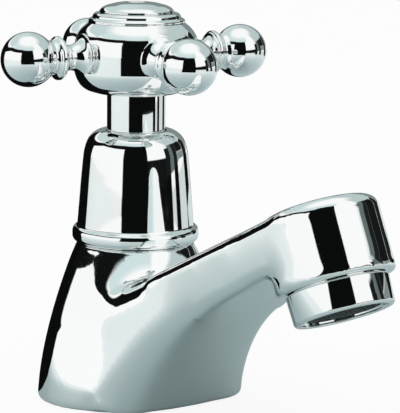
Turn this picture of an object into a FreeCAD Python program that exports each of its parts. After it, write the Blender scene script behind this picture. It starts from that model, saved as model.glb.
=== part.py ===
import FreeCAD
import Part
import Sketcher
import math
import os
import re
from FreeCAD import Vector

# A pillar tap with a cross handle, in millimetres.
# Origin: on the axis of the tail, at the plane of the deck that the tap stands on.
# +Z runs up the valve, +X runs towards the outlet.

SIZES = (
    # the cast body: an oval foot that narrows to a round neck
    ("foot_half_length", 23.75, "foot, from its centre to its front"),
    ("foot_half_width", 29.3, "foot, from its centre to its side"),
    ("foot_shift", 0.9, "centre of the foot ahead of the tail's axis"),
    ("foot_edge", 1.2, "rounded lower edge of the foot"),
    ("neck_radius", 16.7, "round neck under the bell"),
    ("neck_top", 44.05, "height of the neck's top face"),
    # the spout
    ("spout_rise", 25.2, "slope of the spout's flat top, degrees"),
    ("outlet_reach", 90.4, "tail axis to the middle of the nose's lip"),
    ("outlet_height", 46.9, "deck to the middle of the nose's lip"),
    ("nose_radius", 15.8, "round nose over the outlet"),
    ("nose_length", 20.0, "nose, from its lip to the spout's top"),
    ("spout_depth", 13.0, "spout beside the nose, top to underside"),
    ("spout_flare", 2.9, "half width that the top gains towards the neck"),
    ("shin_flare", 8.4, "half width that the underside gains towards the foot"),
    ("top_round", 3.2, "rounded edge of the spout's top"),
    ("underside_round", 8.0, "rounded edge of the underside at the nose"),
    ("shin_round", 10.0, "what that rounding gains towards the foot"),
    ("arch_reach", 70.0, "tail axis to the middle of the underside's arch"),
    ("arch_drop", 2.0, "middle of the arch below the deck"),
    ("arch_nose_gain", 2.8, "radius that the arch gains before the nose"),
    ("arch_thickening", 1.3, "depth that the spout gains where the arch ends"),
    ("arch_least", 52.0, "where that radius is least, degrees round the arch"),
    ("arch_end", 78.0, "where the arch meets the straight underside, degrees round it"),
    # the waterway
    ("inlet_bore", 7.0, "bore of the tail"),
    ("socket_radius", 9.5, "screwed upper end of the tail"),
    ("socket_depth", 13.0, "depth of the tail's socket"),
    ("port_radius", 6.0, "port through the valve seat"),
    ("seat_height", 22.0, "height of the valve seat"),
    ("seat_wall", 1.6, "wall of the raised seat ring"),
    ("seat_rise", 2.0, "seat ring above the chamber's floor"),
    ("chamber_radius", 10.2, "water chamber round the valve"),
    ("channel_radius", 4.2, "channel along the spout"),
    ("channel_depth", 6.9, "middle of the channel under the spout's top"),
    ("plenum_radius", 9.0, "space above the aerator"),
    ("plenum_top", 15.0, "top of that space above the lip"),
    # below the deck
    ("thread_radius", 10.48, "half inch pipe thread over its crests"),
    ("tail_drop", 48.0, "tail below the deck"),
    ("supply_length", 16.5, "lower end of the tail, for the supply's union nut"),
    ("groove_width", 1.5, "relief groove over that stretch of thread"),
    ("groove_depth", 1.0, "relief groove over that stretch of thread"),
    ("gasket_margin", 2.5, "rim of the foot outside the gasket"),
    ("gasket_thick", 1.6, "foam gasket"),
    ("hollow_margin", 4.5, "wall round the hollow under the foot"),
    ("hollow_depth", 17.0, "depth of that hollow"),
    ("boss_radius", 13.5, "boss round the tail's socket"),
    ("deck_thick", 18.0, "deck that the fixings are drawn up for"),
    ("washer_radius", 19.0, "washers under the deck"),
    ("rubber_thick", 2.0, "rubber washer under the deck"),
    ("plate_thick", 1.5, "brass washer on the nut"),
    ("nut_flats", 30.0, "back nut across its flats"),
    ("nut_height", 7.0, "back nut"),
    # the headwork: the screw-down valve
    ("headwork_foot", 33.4, "lower end of the headwork"),
    ("headwork_flats", 23.0, "hexagon of the headwork across its flats"),
    ("hexagon_height", 5.5, "hexagon of the headwork"),
    ("fibre_thick", 0.9, "fibre washer under the hexagon"),
    ("collar_radius", 8.0, "threaded collar over the hexagon"),
    ("collar_top", 55.5, "top of that collar"),
    ("barrel_radius", 6.9, "barrel of the headwork"),
    ("barrel_top", 73.0, "top of the barrel"),
    ("gland_radius", 5.6, "bore for packing and gland nut"),
    ("gland_floor", 65.0, "floor of that bore"),
    ("packing_height", 4.0, "gland packing"),
    ("gland_flats", 11.0, "gland nut across its flats"),
    ("gland_head", 2.6, "head of the gland nut"),
    ("carrier_height", 3.2, "ring that carries the bell"),
    # spindle and valve
    ("spindle_radius", 4.0, "upper spindle"),
    ("screw_radius", 6.0, "lifting screw of the spindle"),
    ("screw_length", 19.0, "lifting screw of the spindle"),
    ("spindle_gap", 0.4, "between the spindle and the hub's web"),
    ("spindle_top", "=hub_web - spindle_gap", "top of the spindle, valve shut"),
    ("spline_length", 9.0, "splined end of the spindle"),
    ("spline_depth", 0.35, "depth of the splines"),
    ("ring_section", 0.8, "thickness radius of the spindle's seal rings"),
    ("ring_height", 55.6, "lower seal ring, valve shut"),
    ("ring_pitch", 2.6, "between the seal rings"),
    ("washer_thick", 3.0, "rubber washer on the valve"),
    ("valve_radius", 8.6, "plate of the valve"),
    ("plate_height", 2.0, "plate of the valve"),
    ("pin_radius", 3.0, "pin of the valve in the spindle"),
    ("pin_length", 13.0, "pin of the valve above its plate"),
    ("stud_radius", 2.0, "stud under the plate"),
    ("small_nut_flats", 7.0, "nut that holds the rubber washer"),
    ("small_nut_height", 2.6, "nut that holds the rubber washer"),
    # the bell
    ("bead_radius", 18.0, "bead round the foot of the bell"),
    ("bead_height", 4.45, "bead round the foot of the bell"),
    ("bell_foot", 16.6, "bell over its bead"),
    ("bell_shoulder", 14.6, "bell under its shoulder"),
    ("shoulder_height", 70.0, "where the bell's shoulder starts"),
    ("shoulder_rise", 6.0, "top of the bell over its shoulder"),
    ("bell_top", "=shoulder_height + shoulder_rise", "top of the bell"),
    ("bell_wall", 1.5, "wall of the bell"),
    ("mouth_gap", 0.35, "between the bell's mouth and the sleeve"),
    # the handle
    ("sleeve_radius", 8.25, "sleeve under the hub"),
    ("sleeve_bore", 7.2, "bore of the sleeve"),
    ("sleeve_foot", 62.0, "lower end of the sleeve, valve shut"),
    ("sleeve_seat", 4.0, "sleeve inside the hub"),
    ("arm_height", 97.0, "axis of the arms, valve shut"),
    ("hub_below", 10.6, "hub under the arms' axis"),
    ("hub_above", 12.0, "hub over the arms' axis"),
    ("web_above", 1.0, "underside of the hub's web over the arms' axis"),
    ("hub_foot", "=arm_height - hub_below", "underside of the hub"),
    ("hub_top", "=arm_height + hub_above", "top of the hub"),
    ("hub_web", "=arm_height + web_above", "underside of the hub's web"),
    ("hub_base", 11.0, "flat underside of the hub"),
    ("hub_radius", 17.6, "hub at its widest"),
    ("web_thick", 5.6, "web of the hub"),
    ("bush_radius", 6.4, "splined bush in the hub"),
    ("recess_radius", 9.5, "recess for the cap"),
    ("arm_turn", -9.0, "first arm from the spout, valve shut, degrees"),
    ("arm_seat", 15.9, "spot face of an arm on the hub"),
    ("arm_root", 6.6, "foot of an arm"),
    ("waist_radius", 3.4, "waist of an arm"),
    ("waist_place", 20.3, "waist of an arm from the axis"),
    ("rim_radius", 6.1, "collar of an arm"),
    ("rim_place", 24.2, "collar of an arm from the axis"),
    ("notch_radius", 4.9, "neck between collar and ball"),
    ("notch_place", 26.2, "neck between collar and ball from the axis"),
    ("ball_radius", 7.65, "ball of an arm"),
    ("ball_place", 33.0, "middle of the ball from the axis"),
    ("tenon_radius", 2.5, "screwed tenon of an arm"),
    ("tenon_length", 5.4, "screwed tenon of an arm"),
    # cap and screw
    ("cap_radius", 10.5, "rim of the index cap"),
    ("cap_shoulder", 9.3, "shoulder of the index cap"),
    ("cap_rise", 1.7, "shoulder over the hub"),
    ("cap_dome", 1.3, "dome over the shoulder"),
    ("cap_skirt", 4.0, "skirt of the cap inside the hub"),
    ("badge_radius", 2.4, "plain disc in the middle of the cap"),
    ("badge_thick", 0.8, "plain disc in the middle of the cap"),
    ("head_radius", 4.4, "head of the handle screw"),
    ("head_height", 2.8, "head of the handle screw"),
    ("shank_radius", 2.4, "shank of the handle screw"),
    ("shank_length", 13.0, "shank of the handle screw"),
    # the aerator
    ("housing_top", 13.5, "aerator housing under the lip"),
    ("housing_foot", 13.2, "aerator housing at its mouth"),
    ("housing_drop", 8.3, "aerator housing below the lip"),
    ("housing_edge", 1.2, "rounded edge of its mouth"),
    ("mouth_radius", 11.4, "mouth of the aerator"),
    ("aerator_thread", 12.0, "thread of the aerator over its crests"),
    ("thread_rise", 7.0, "thread of the aerator above the lip"),
    ("cartridge_radius", 10.4, "cartridge inside the aerator"),
    ("mesh_rise", 2.2, "mesh above the mouth's edge"),
    ("mesh_thick", 0.5, "mesh"),
    ("mesh_pitch", 2.2, "mesh, from hole to hole"),
    ("mesh_hole", 1.5, "mesh, side of a hole"),
    ("seal_thick", 1.5, "sealing ring over the aerator"),
    # fits
    ("slip", 0.05, "clearance of a screwed or pushed fit"),
    ("running", 0.1, "clearance of a turning fit"),
)

document = FreeCAD.newDocument("cross_handle_tap")
sizes = document.addObject("Spreadsheet::Sheet", "Sizes")
for row, (alias, value, note) in enumerate(SIZES, start=1):
    sizes.set(f"A{row}", str(value))
    sizes.setAlias(f"A{row}", alias)
    sizes.set(f"B{row}", note)
document.recompute()

ALIASES = {alias for alias, _, _ in SIZES}
ARM_NAMES = ("front", "right", "back", "left")
# Sections of the spout fan round the arch under it, in degrees; the nose counts as the last.
FAN_ANGLES = (3.0, 12.0, 20.0, 32.0, 46.0, 62.0)
NOSE_ANGLE = 92.0
NODES = {}


# ---------------------------------------------------------------- helpers

def bound(formula):
    """The formula with each size named as a cell of the sheet."""
    def cell(match):
        word = match.group(0)
        return f"Sizes.{word}" if word in ALIASES else word
    return re.sub(r"[a-z_]+", cell, formula)


def size(formula):
    """The value of a formula of sizes."""
    result = sizes.evalExpression(bound(formula).replace("Sizes.", ""))
    return float(getattr(result, "Value", result))


def bind(item, **formulas):
    """Ties properties of an object to formulas; a double underscore stands for a dot."""
    for name, formula in formulas.items():
        item.setExpression(name.replace("__", "."), bound(formula))
    return item


def node(name, item):
    """Names an object as a piece of the tap."""
    item.Label = name
    NODES[name] = item
    return item


def by(horizontal, vertical):
    """Marks a point that an arc passes through, between two corners of an outline."""
    return ("by", horizontal, vertical)


def fix_point(sketch, geometry, vertex, horizontal, vertical):
    """Holds a sketch point at two formulas."""
    for kind, formula in (("DistanceX", horizontal), ("DistanceY", vertical)):
        rule = Sketcher.Constraint(kind, -1, 1, geometry, vertex, size(formula))
        number = sketch.addConstraint(rule)
        if re.search("[a-z]", formula):
            sketch.setExpression(f"Constraints[{number}]", bound(formula))


def draw(sketch, outline):
    """Draws a closed outline of corners and arcs, each point held by its formulas."""
    corners = [point for point in outline if point[0] != "by"]
    spans = []
    for point in outline:
        if point[0] == "by":
            spans[-1] = point[1:]
        else:
            spans.append(None)
    places = [Vector(size(a), size(b), 0) for a, b in corners]
    ends = []
    for index, start in enumerate(places):
        stop = places[(index + 1) % len(places)]
        if spans[index] is None:
            number = sketch.addGeometry(Part.LineSegment(start, stop), False)
            ends.append((number, 1, 2))
            continue
        middle = Vector(size(spans[index][0]), size(spans[index][1]), 0)
        turns_left = (middle - start).cross(stop - middle).z > 0
        first, last = (start, stop) if turns_left else (stop, start)
        number = sketch.addGeometry(Part.Arc(first, middle, last), False)
        ends.append((number, 1, 2) if turns_left else (number, 2, 1))
    for index, (number, _, stop) in enumerate(ends):
        following, start, _ = ends[(index + 1) % len(ends)]
        sketch.addConstraint(Sketcher.Constraint("Coincident", number, stop, following, start))
    for (number, start, _), corner in zip(ends, corners):
        fix_point(sketch, number, start, *corner)
    for (number, _, _), span in zip(ends, spans):
        if span is not None:
            place = Vector(size(span[0]), size(span[1]), 0)
            marker = sketch.addGeometry(Part.Point(place), True)
            sketch.addConstraint(Sketcher.Constraint("PointOnObject", marker, 1, number))
            fix_point(sketch, marker, 1, *span)


def turned(name, outline, axis="V_Axis"):
    """A turned solid: an outline of (radius, height), or of (length, radius) about H_Axis."""
    body = document.addObject("PartDesign::Body", name)
    sketch = body.newObject("Sketcher::SketchObject", name + "_outline")
    plane = [item for item in body.Origin.OriginFeatures if item.Role == "XZ_Plane"][0]
    sketch.AttachmentSupport = [(plane, "")]
    sketch.MapMode = "FlatFace"
    draw(sketch, outline)
    turning = body.newObject("PartDesign::Revolution", name + "_turning")
    turning.Profile = sketch
    turning.ReferenceAxis = (sketch, [axis])
    turning.Angle = 360
    return body


def ring(name, inner, outer, foot, height):
    """A plain ring about the tail's axis."""
    top = f"{foot} + {height}"
    return turned(name, [(inner, foot), (outer, foot), (outer, top), (inner, top)])


def hexagon(name, flats, foot, height, chamfer="1.0"):
    """A hexagon with its corners turned off, about the tail's axis."""
    prism = document.addObject("Part::Prism", name + "_prism")
    prism.Polygon = 6
    bind(prism, Circumradius=f"({flats}) / sqrt(3)", Height=height, Placement__Base__z=foot)
    corner = f"({flats}) / sqrt(3) + 0.02"
    flat = f"({flats}) / 2 - 0.1"
    blank = turned(name + "_blank", [
        ("0", foot), (flat, foot), (corner, f"{foot} + {chamfer}"),
        (corner, f"{foot} + {height} - {chamfer}"), (flat, f"{foot} + {height}"),
        ("0", f"{foot} + {height}"),
    ])
    return common(name + "_hexagon", prism, blank)


def common(name, base, tool):
    item = document.addObject("Part::Common", name)
    item.Base, item.Tool = base, tool
    return item


def cut(name, base, tool):
    item = document.addObject("Part::Cut", name)
    item.Base, item.Tool = base, tool
    return item


def fuse(name, *shapes):
    item = document.addObject("Part::MultiFuse", name)
    item.Shapes = list(shapes)
    return item


def on_outlet(item):
    """Stands a piece on the lip of the nose, its own Z up the tilted outlet axis."""
    item.Placement = FreeCAD.Placement(Vector(), FreeCAD.Rotation(Vector(0, -1, 0), 20))
    return bind(
        item, Placement__Base__x="outlet_reach", Placement__Base__z="outlet_height",
        Placement__Rotation__Angle="spout_rise",
    )


def on_arm(item, number):
    """Points a piece drawn along X down one of the four arms."""
    item.Placement = FreeCAD.Placement(Vector(), FreeCAD.Rotation(Vector(0, 0, 1), 45))
    return bind(
        item, Placement__Base__z="arm_height",
        Placement__Rotation__Angle=f"arm_turn + {90 * number}",
    )


# ---------------------------------------------------------------- the cast body

def rounded_outline(corners, radii):
    """A closed wire through the corners of a flat polygon, each rounded by its radius."""
    count = len(corners)
    tangents = []
    for index, corner in enumerate(corners):
        back = (corners[index - 1] - corner).normalize()
        ahead = (corners[(index + 1) % count] - corner).normalize()
        half = back.getAngle(ahead) / 2
        reach = radii[index] / math.tan(half)
        centre = corner + (back + ahead).normalize() * (radii[index] / math.sin(half))
        middle = centre + (corner - centre).normalize() * radii[index]
        tangents.append((corner + back * reach, middle, corner + ahead * reach))
    edges = []
    for index, (start, middle, stop) in enumerate(tangents):
        edges.append(Part.Arc(start, middle, stop).toShape())
        following = tangents[(index + 1) % count][0]
        edges.append(Part.LineSegment(stop, following).toShape())
    return Part.Wire(edges)


def spout_section(top, underside, share):
    """A section of the spout from a point of its top to one of its underside.

    share runs from 0 at the foot to 1 at the nose.
    """
    towards_foot = 1 - share
    above = size("nose_radius") + size("spout_flare") * towards_foot
    below = size("nose_radius") + size("shin_flare") * towards_foot ** 2
    sharp = size("top_round")
    soft = size("underside_round") + size("shin_round") * towards_foot ** 2
    corners = [
        top + Vector(0, above, 0), underside + Vector(0, below, 0),
        underside - Vector(0, below, 0), top - Vector(0, above, 0),
    ]
    return rounded_outline(corners, [sharp, soft, soft, sharp])


def spout():
    """The spout, lofted through sections that fan round the arch under it."""
    rise = math.radians(size("spout_rise"))
    nose_up = Vector(-math.sin(rise), 0, math.cos(rise))
    along = Vector(math.cos(rise), 0, math.sin(rise))
    lip = Vector(size("outlet_reach"), 0, size("outlet_height"))
    nose_top = lip + nose_up * size("nose_length")
    pivot = Vector(size("arch_reach"), 0, -size("arch_drop"))
    top_distance = (nose_top - pivot).dot(nose_up)
    least, end = size("arch_least"), size("arch_end")
    widest_reach = size("arch_reach + 0.3 * foot_half_length")
    end_slant = math.cos(math.radians(90 - end - size("spout_rise")))
    end_radius = top_distance / end_slant - size("spout_depth + arch_thickening")
    least_radius = end_radius - size("arch_nose_gain")
    foot_radius = size("arch_reach - foot_shift - foot_half_length")
    wires = []
    for angle in FAN_ANGLES + (end,):
        turn = math.radians(angle)
        outwards = Vector(-math.cos(turn), 0, math.sin(turn))
        side_radius = foot_radius if angle < least else end_radius
        span = least if angle < least else end - least
        inner = least_radius + (side_radius - least_radius) * ((angle - least) / span) ** 2
        outer = min(top_distance / outwards.dot(nose_up), widest_reach)
        fan_top = pivot + outwards * outer
        wires.append(spout_section(fan_top, pivot + outwards * inner, angle / NOSE_ANGLE))
    straight = (nose_top - fan_top).dot(along)
    for share in (0.6, 0.0):
        top = nose_top - along * (straight * share)
        wires.append(spout_section(top, top - nose_up * size("spout_depth"), 1.0))
    return Part.makeLoft(wires, True, False)


def oval(half_length, half_width, height):
    """A closed oval wire round the foot's centre, at a height."""
    centre = Vector(size("foot_shift"), 0, height)
    long_side, short_side = max(half_length, half_width), min(half_length, half_width)
    curve = Part.Ellipse(centre, long_side, short_side)
    wire = Part.Wire([curve.toShape()])
    if half_width > half_length:
        wire.rotate(centre, Vector(0, 0, 1), 90)
    return wire


def pedestal_oval(height, margin=0.0):
    """The outline of the pedestal at a height, or an oval inside it by a margin."""
    neck, edge = size("neck_radius"), size("foot_edge")
    spread = math.cos(math.pi / 2 * max(height - edge, 0.0) / (size("neck_top") - edge))
    wire = oval(neck + (size("foot_half_length") - neck) * spread - margin,
                neck + (size("foot_half_width") - neck) * spread - margin, height)
    wire.translate(Vector(-size("foot_shift") * (1 - spread), 0, 0))
    return wire


def pedestal():
    """The pedestal: an oval foot that narrows to the round neck."""
    heights = [size("foot_edge")] + [size("neck_top") * share for share in (0.2, 0.4, 0.6, 0.8, 1)]
    return Part.makeLoft([pedestal_oval(height) for height in heights], True, False)


def hollow():
    """The hollow under the foot, which follows its outside and leaves the tail's boss."""
    base, top = size("gasket_thick"), size("gasket_thick + hollow_depth")
    margin = size("hollow_margin")
    levels = [pedestal_oval(height, margin) for height in (base, (base + top) / 2, top)]
    boss = Part.makeCylinder(size("boss_radius"), top, Vector())
    return Part.makeLoft(levels, True, False).cut(boss)


def oval_block(margin, base, height):
    """An upright oval block inside the foot's outline."""
    wire = oval(size("foot_half_length") - margin, size("foot_half_width") - margin, base)
    return Part.Face(wire).extrude(Vector(0, 0, height))


def foot_rim():
    """The lowest band of the foot, with its rounded lower edge."""
    edge = size("foot_edge")
    block = oval_block(0.0, 0.0, edge)
    lower = [item for item in block.Edges if abs(item.CenterOfMass.z) < 1e-6]
    return block.makeFillet(0.9 * edge, lower)


def shaped(name, solid):
    """A document object that holds a freely shaped solid."""
    item = document.addObject("Part::Feature", name)
    item.Shape = solid
    return item


def make_body():
    """The cast body: foot, neck, spout and nose, bored for water, valve and aerator."""
    nose = on_outlet(turned("nose", [
        ("0", "0"), ("nose_radius", "0"), ("nose_radius", "nose_length - top_round"),
        by("nose_radius - top_round * 0.2929", "nose_length - top_round * 0.2929"),
        ("nose_radius - top_round", "nose_length"), ("0", "nose_length"),
    ]))
    casting = fuse("casting", shaped("pedestal", pedestal()), shaped("pedestal_rim", foot_rim()),
                   shaped("spout", spout()), nose)
    waterway = turned("waterway", [
        ("0", "-1"), ("socket_radius + slip", "-1"),
        ("socket_radius + slip", "socket_depth"), ("inlet_bore", "socket_depth"),
        ("port_radius", "socket_depth + 2"), ("port_radius", "seat_height"),
        ("port_radius + seat_wall", "seat_height"),
        ("port_radius + seat_wall", "seat_height - seat_rise"),
        ("chamber_radius", "seat_height - seat_rise"), ("chamber_radius", "headwork_foot - 1"),
        ("thread_radius + slip", "headwork_foot - 1"), ("thread_radius + slip", "neck_top + 1"),
        ("0", "neck_top + 1"),
    ])
    channel = document.addObject("Part::Cylinder", "channel")
    channel.Placement = FreeCAD.Placement(Vector(), FreeCAD.Rotation(Vector(0, 1, 0), 60))
    fall = "(nose_length - channel_depth)"
    bind(
        channel, Radius="channel_radius",
        Height="(outlet_reach - 6) / cos(spout_rise)",
        Placement__Rotation__Angle="90 - spout_rise",
        Placement__Base__x=f"6 - {fall} * sin(spout_rise)",
        Placement__Base__z=(
            f"outlet_height - (outlet_reach - 6) * tan(spout_rise) + {fall} * cos(spout_rise)"
        ),
    )
    outlet = on_outlet(turned("outlet_socket", [
        ("0", "-1"), ("aerator_thread + slip", "-1"),
        ("aerator_thread + slip", "thread_rise + seal_thick"),
        ("plenum_radius", "thread_rise + seal_thick"), ("plenum_radius", "plenum_top"),
        ("0", "plenum_top"),
    ]))
    recess = oval_block(size("gasket_margin"), -1.0, size("gasket_thick") + 1.0)
    voids = fuse("voids", waterway, channel, outlet, shaped("hollow", hollow()),
                 shaped("gasket_recess", recess))
    node("tap_body", cut("bored_body", casting, voids))


# ---------------------------------------------------------------- under the deck

def make_fixings():
    """Tail, gasket, washers and back nut."""
    groove_foot = "supply_length - tail_drop"
    groove_top = "supply_length + groove_width - tail_drop"
    node("inlet_tail", turned("tail", [
        ("inlet_bore", "-tail_drop"), ("thread_radius - 1", "-tail_drop"),
        ("thread_radius", "-tail_drop + 1"), ("thread_radius", groove_foot),
        ("thread_radius - groove_depth", groove_foot),
        ("thread_radius - groove_depth", groove_top), ("thread_radius", groove_top),
        ("thread_radius", "-0.4"),
        ("socket_radius", "0.6"), ("socket_radius", "socket_depth - 0.2"),
        ("inlet_bore", "socket_depth - 0.2"),
    ]))
    plate = oval_block(size("gasket_margin + slip"), 0.0, size("gasket_thick"))
    hole = Part.makeCylinder(size("thread_radius + 0.3"), size("gasket_thick"))
    node("base_gasket", shaped("gasket", plate.cut(hole)))
    node("rubber_washer", ring("rubber", "thread_radius + 0.2", "washer_radius",
                               "-deck_thick - rubber_thick", "rubber_thick"))
    node("fixing_washer", ring("plate", "thread_radius + 0.2", "washer_radius - 0.5",
                               "-deck_thick - rubber_thick - plate_thick", "plate_thick"))
    nut_foot = "-deck_thick - rubber_thick - plate_thick - nut_height"
    hole = ring("nut_thread", "0", "thread_radius + slip", f"{nut_foot} - 1", "nut_height + 2")
    node("back_nut", cut("nut", hexagon("nut", "nut_flats", nut_foot, "nut_height", "1.4"), hole))


# ---------------------------------------------------------------- the headwork

def make_headwork():
    """The screw-down headwork with its washer, packing, gland nut and the bell's carrier."""
    hexagon_foot = "neck_top + fibre_thick"
    hexagon_top = "neck_top + fibre_thick + hexagon_height"
    stem = turned("headwork_turning", [
        ("chamber_radius - 0.6", "headwork_foot"), ("thread_radius", "headwork_foot + 1"),
        ("thread_radius", hexagon_top), ("collar_radius", hexagon_top),
        ("collar_radius", "collar_top"), ("barrel_radius", "collar_top"),
        ("barrel_radius", "barrel_top"), ("0", "barrel_top"), ("0", "headwork_foot"),
    ])
    blank = fuse("headwork_blank", stem,
                 hexagon("headwork", "headwork_flats", hexagon_foot, "hexagon_height"))
    screw_top = "seat_height + washer_thick + plate_height + screw_length + 6.5"
    bores = turned("headwork_bores", [
        ("0", "headwork_foot - 1"), ("screw_radius + slip", "headwork_foot - 1"),
        ("screw_radius + slip", screw_top), ("spindle_radius + running", f"{screw_top} + 2"),
        ("spindle_radius + running", "gland_floor"), ("gland_radius", "gland_floor"),
        ("gland_radius", "barrel_top + 1"), ("0", "barrel_top + 1"),
    ])
    node("headwork_body", cut("headwork", blank, bores))
    node("headwork_washer", ring("fibre", "thread_radius + slip", "thread_radius + 2.4",
                                 "neck_top", "fibre_thick"))
    node("gland_packing", ring("packing", "spindle_radius + slip", "gland_radius - slip",
                               "gland_floor", "packing_height"))
    plug_foot = "gland_floor + packing_height"
    plug = ring("gland_plug", "0", "gland_radius - slip", plug_foot,
                f"barrel_top - ({plug_foot})")
    head = hexagon("gland", "gland_flats", "barrel_top", "gland_head", "0.4")
    hole = ring("gland_bore", "0", "spindle_radius + running", f"{plug_foot} - 1",
                "barrel_top + gland_head + 2 - gland_floor - packing_height")
    node("gland_nut", cut("gland", fuse("gland_blank", plug, head), hole))
    slope = "(bell_foot - bell_shoulder) / (shoulder_height - neck_top - bead_height)"
    carrier_top = f"{hexagon_top} + carrier_height"
    outer = f"bell_foot - bell_wall - slip - ({carrier_top} - neck_top - bead_height) * {slope}"
    node("bell_carrier", ring("carrier", "collar_radius + slip", outer, hexagon_top,
                              "carrier_height"))


def make_bell():
    """The bell that covers the headwork, with a bead round its foot."""
    mouth = "sleeve_radius + mouth_gap"
    bead_top = "neck_top + bead_height"
    inner_foot = "bell_foot - bell_wall"
    node("bell_cover", turned("bell", [
        (inner_foot, "neck_top"), ("neck_radius", "neck_top"),
        ("bead_radius - bead_height * 0.2", "neck_top + bead_height * 0.1"),
        by("bead_radius", "neck_top + bead_height / 2"),
        ("bead_radius - bead_height * 0.2", f"{bead_top} - bead_height * 0.1"),
        ("bell_foot", bead_top), ("bell_shoulder", "shoulder_height"),
        by("bell_shoulder - 1.6", "shoulder_height + 3.7"),
        ("bell_shoulder - 4.6", "bell_top - 0.3"), (f"{mouth} + 1.0", "bell_top"),
        (f"{mouth} + 0.3", "bell_top - 0.4"), (mouth, "bell_top - 1.0"),
        (mouth, "bell_top - 1.9"), ("bell_shoulder - 5.0", "bell_top - 1.9"),
        by("bell_shoulder - 2.7", "shoulder_height + 2.5"),
        ("bell_shoulder - bell_wall", "shoulder_height"), (inner_foot, bead_top),
    ]))


# ---------------------------------------------------------------- spindle and valve

def make_valve():
    """The rising valve: plate with its pin and stud, rubber washer and nut."""
    plate_foot = "seat_height + washer_thick"
    plate_top = f"{plate_foot} + plate_height"
    stud_foot = "seat_height - small_nut_height - 1.2"
    node("valve_plate", turned("plate_turning", [
        ("0", stud_foot), ("stud_radius", stud_foot), ("stud_radius", plate_foot),
        ("valve_radius", plate_foot), ("valve_radius", f"{plate_top} - 0.5"),
        ("valve_radius - 0.5", plate_top), ("pin_radius", plate_top),
        ("pin_radius", f"{plate_top} + pin_length - 0.6"),
        ("pin_radius - 0.6", f"{plate_top} + pin_length"), ("0", f"{plate_top} + pin_length"),
    ]))
    node("seat_washer", ring("seat", "stud_radius + slip", "valve_radius - 0.3", "seat_height",
                             "washer_thick"))
    nut_foot = "seat_height - small_nut_height"
    hole = ring("small_thread", "0", "stud_radius + slip", f"{nut_foot} - 1",
                "small_nut_height + 2")
    nut = hexagon("small_nut", "small_nut_flats", nut_foot, "small_nut_height", "0.4")
    node("valve_nut", cut("valve_nut_cut", nut, hole))


def make_spindle():
    """The spindle with its lifting screw, seal ring grooves and splined end."""
    foot_height = "seat_height + washer_thick + plate_height + running"
    screw_top = f"{foot_height} + screw_length"
    groove = "spindle_radius - 2 * ring_section"
    edge = "spindle_radius"
    outline = [
        ("pin_radius + running", foot_height), ("screw_radius", foot_height),
        ("screw_radius", screw_top), (edge, f"{screw_top} + 1.5"),
    ]
    for number in (0, 1):
        low = f"ring_height + {number} * ring_pitch - 1.2 * ring_section"
        high = f"ring_height + {number} * ring_pitch + 1.2 * ring_section"
        outline += [(edge, low), (groove, low), (groove, high), (edge, high)]
    hole_top = f"{foot_height} + pin_length + 1"
    tapping = "hub_web + web_thick - shank_length - 1"
    outline += [
        (edge, "spindle_top - 0.5"), (f"{edge} - 0.5", "spindle_top"),
        ("shank_radius + slip", "spindle_top"), ("shank_radius + slip", tapping),
        ("0", f"{tapping} - 1"), ("0", f"{hole_top} + 1"), ("pin_radius + running", hole_top),
    ]
    stem = turned("spindle_turning", outline)
    teeth = [Part.makeBox(size("spline_depth") * 2, size("spline_depth") * 1.6,
                          size("spline_length") + 1,
                          Vector(size("spindle_radius - spline_depth"),
                                 -size("spline_depth") * 0.8,
                                 size("spindle_top - spline_length")))]
    count = 20
    for number in range(1, count):
        tooth = teeth[0].copy()
        tooth.rotate(Vector(), Vector(0, 0, 1), 360 / count * number)
        teeth.append(tooth)
    node("spindle", cut("splined_spindle", stem, shaped("splines", Part.makeCompound(teeth))))
    rings = []
    for number in (0, 1):
        item = document.addObject("Part::Torus", f"seal_ring_{number + 1}")
        bind(item, Radius1="spindle_radius + running - slip - ring_section",
             Radius2="ring_section", Placement__Base__z=f"ring_height + {number} * ring_pitch")
        rings.append(item)
    node("spindle_seals", fuse("seal_rings", *rings))


# ---------------------------------------------------------------- the handle

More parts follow.
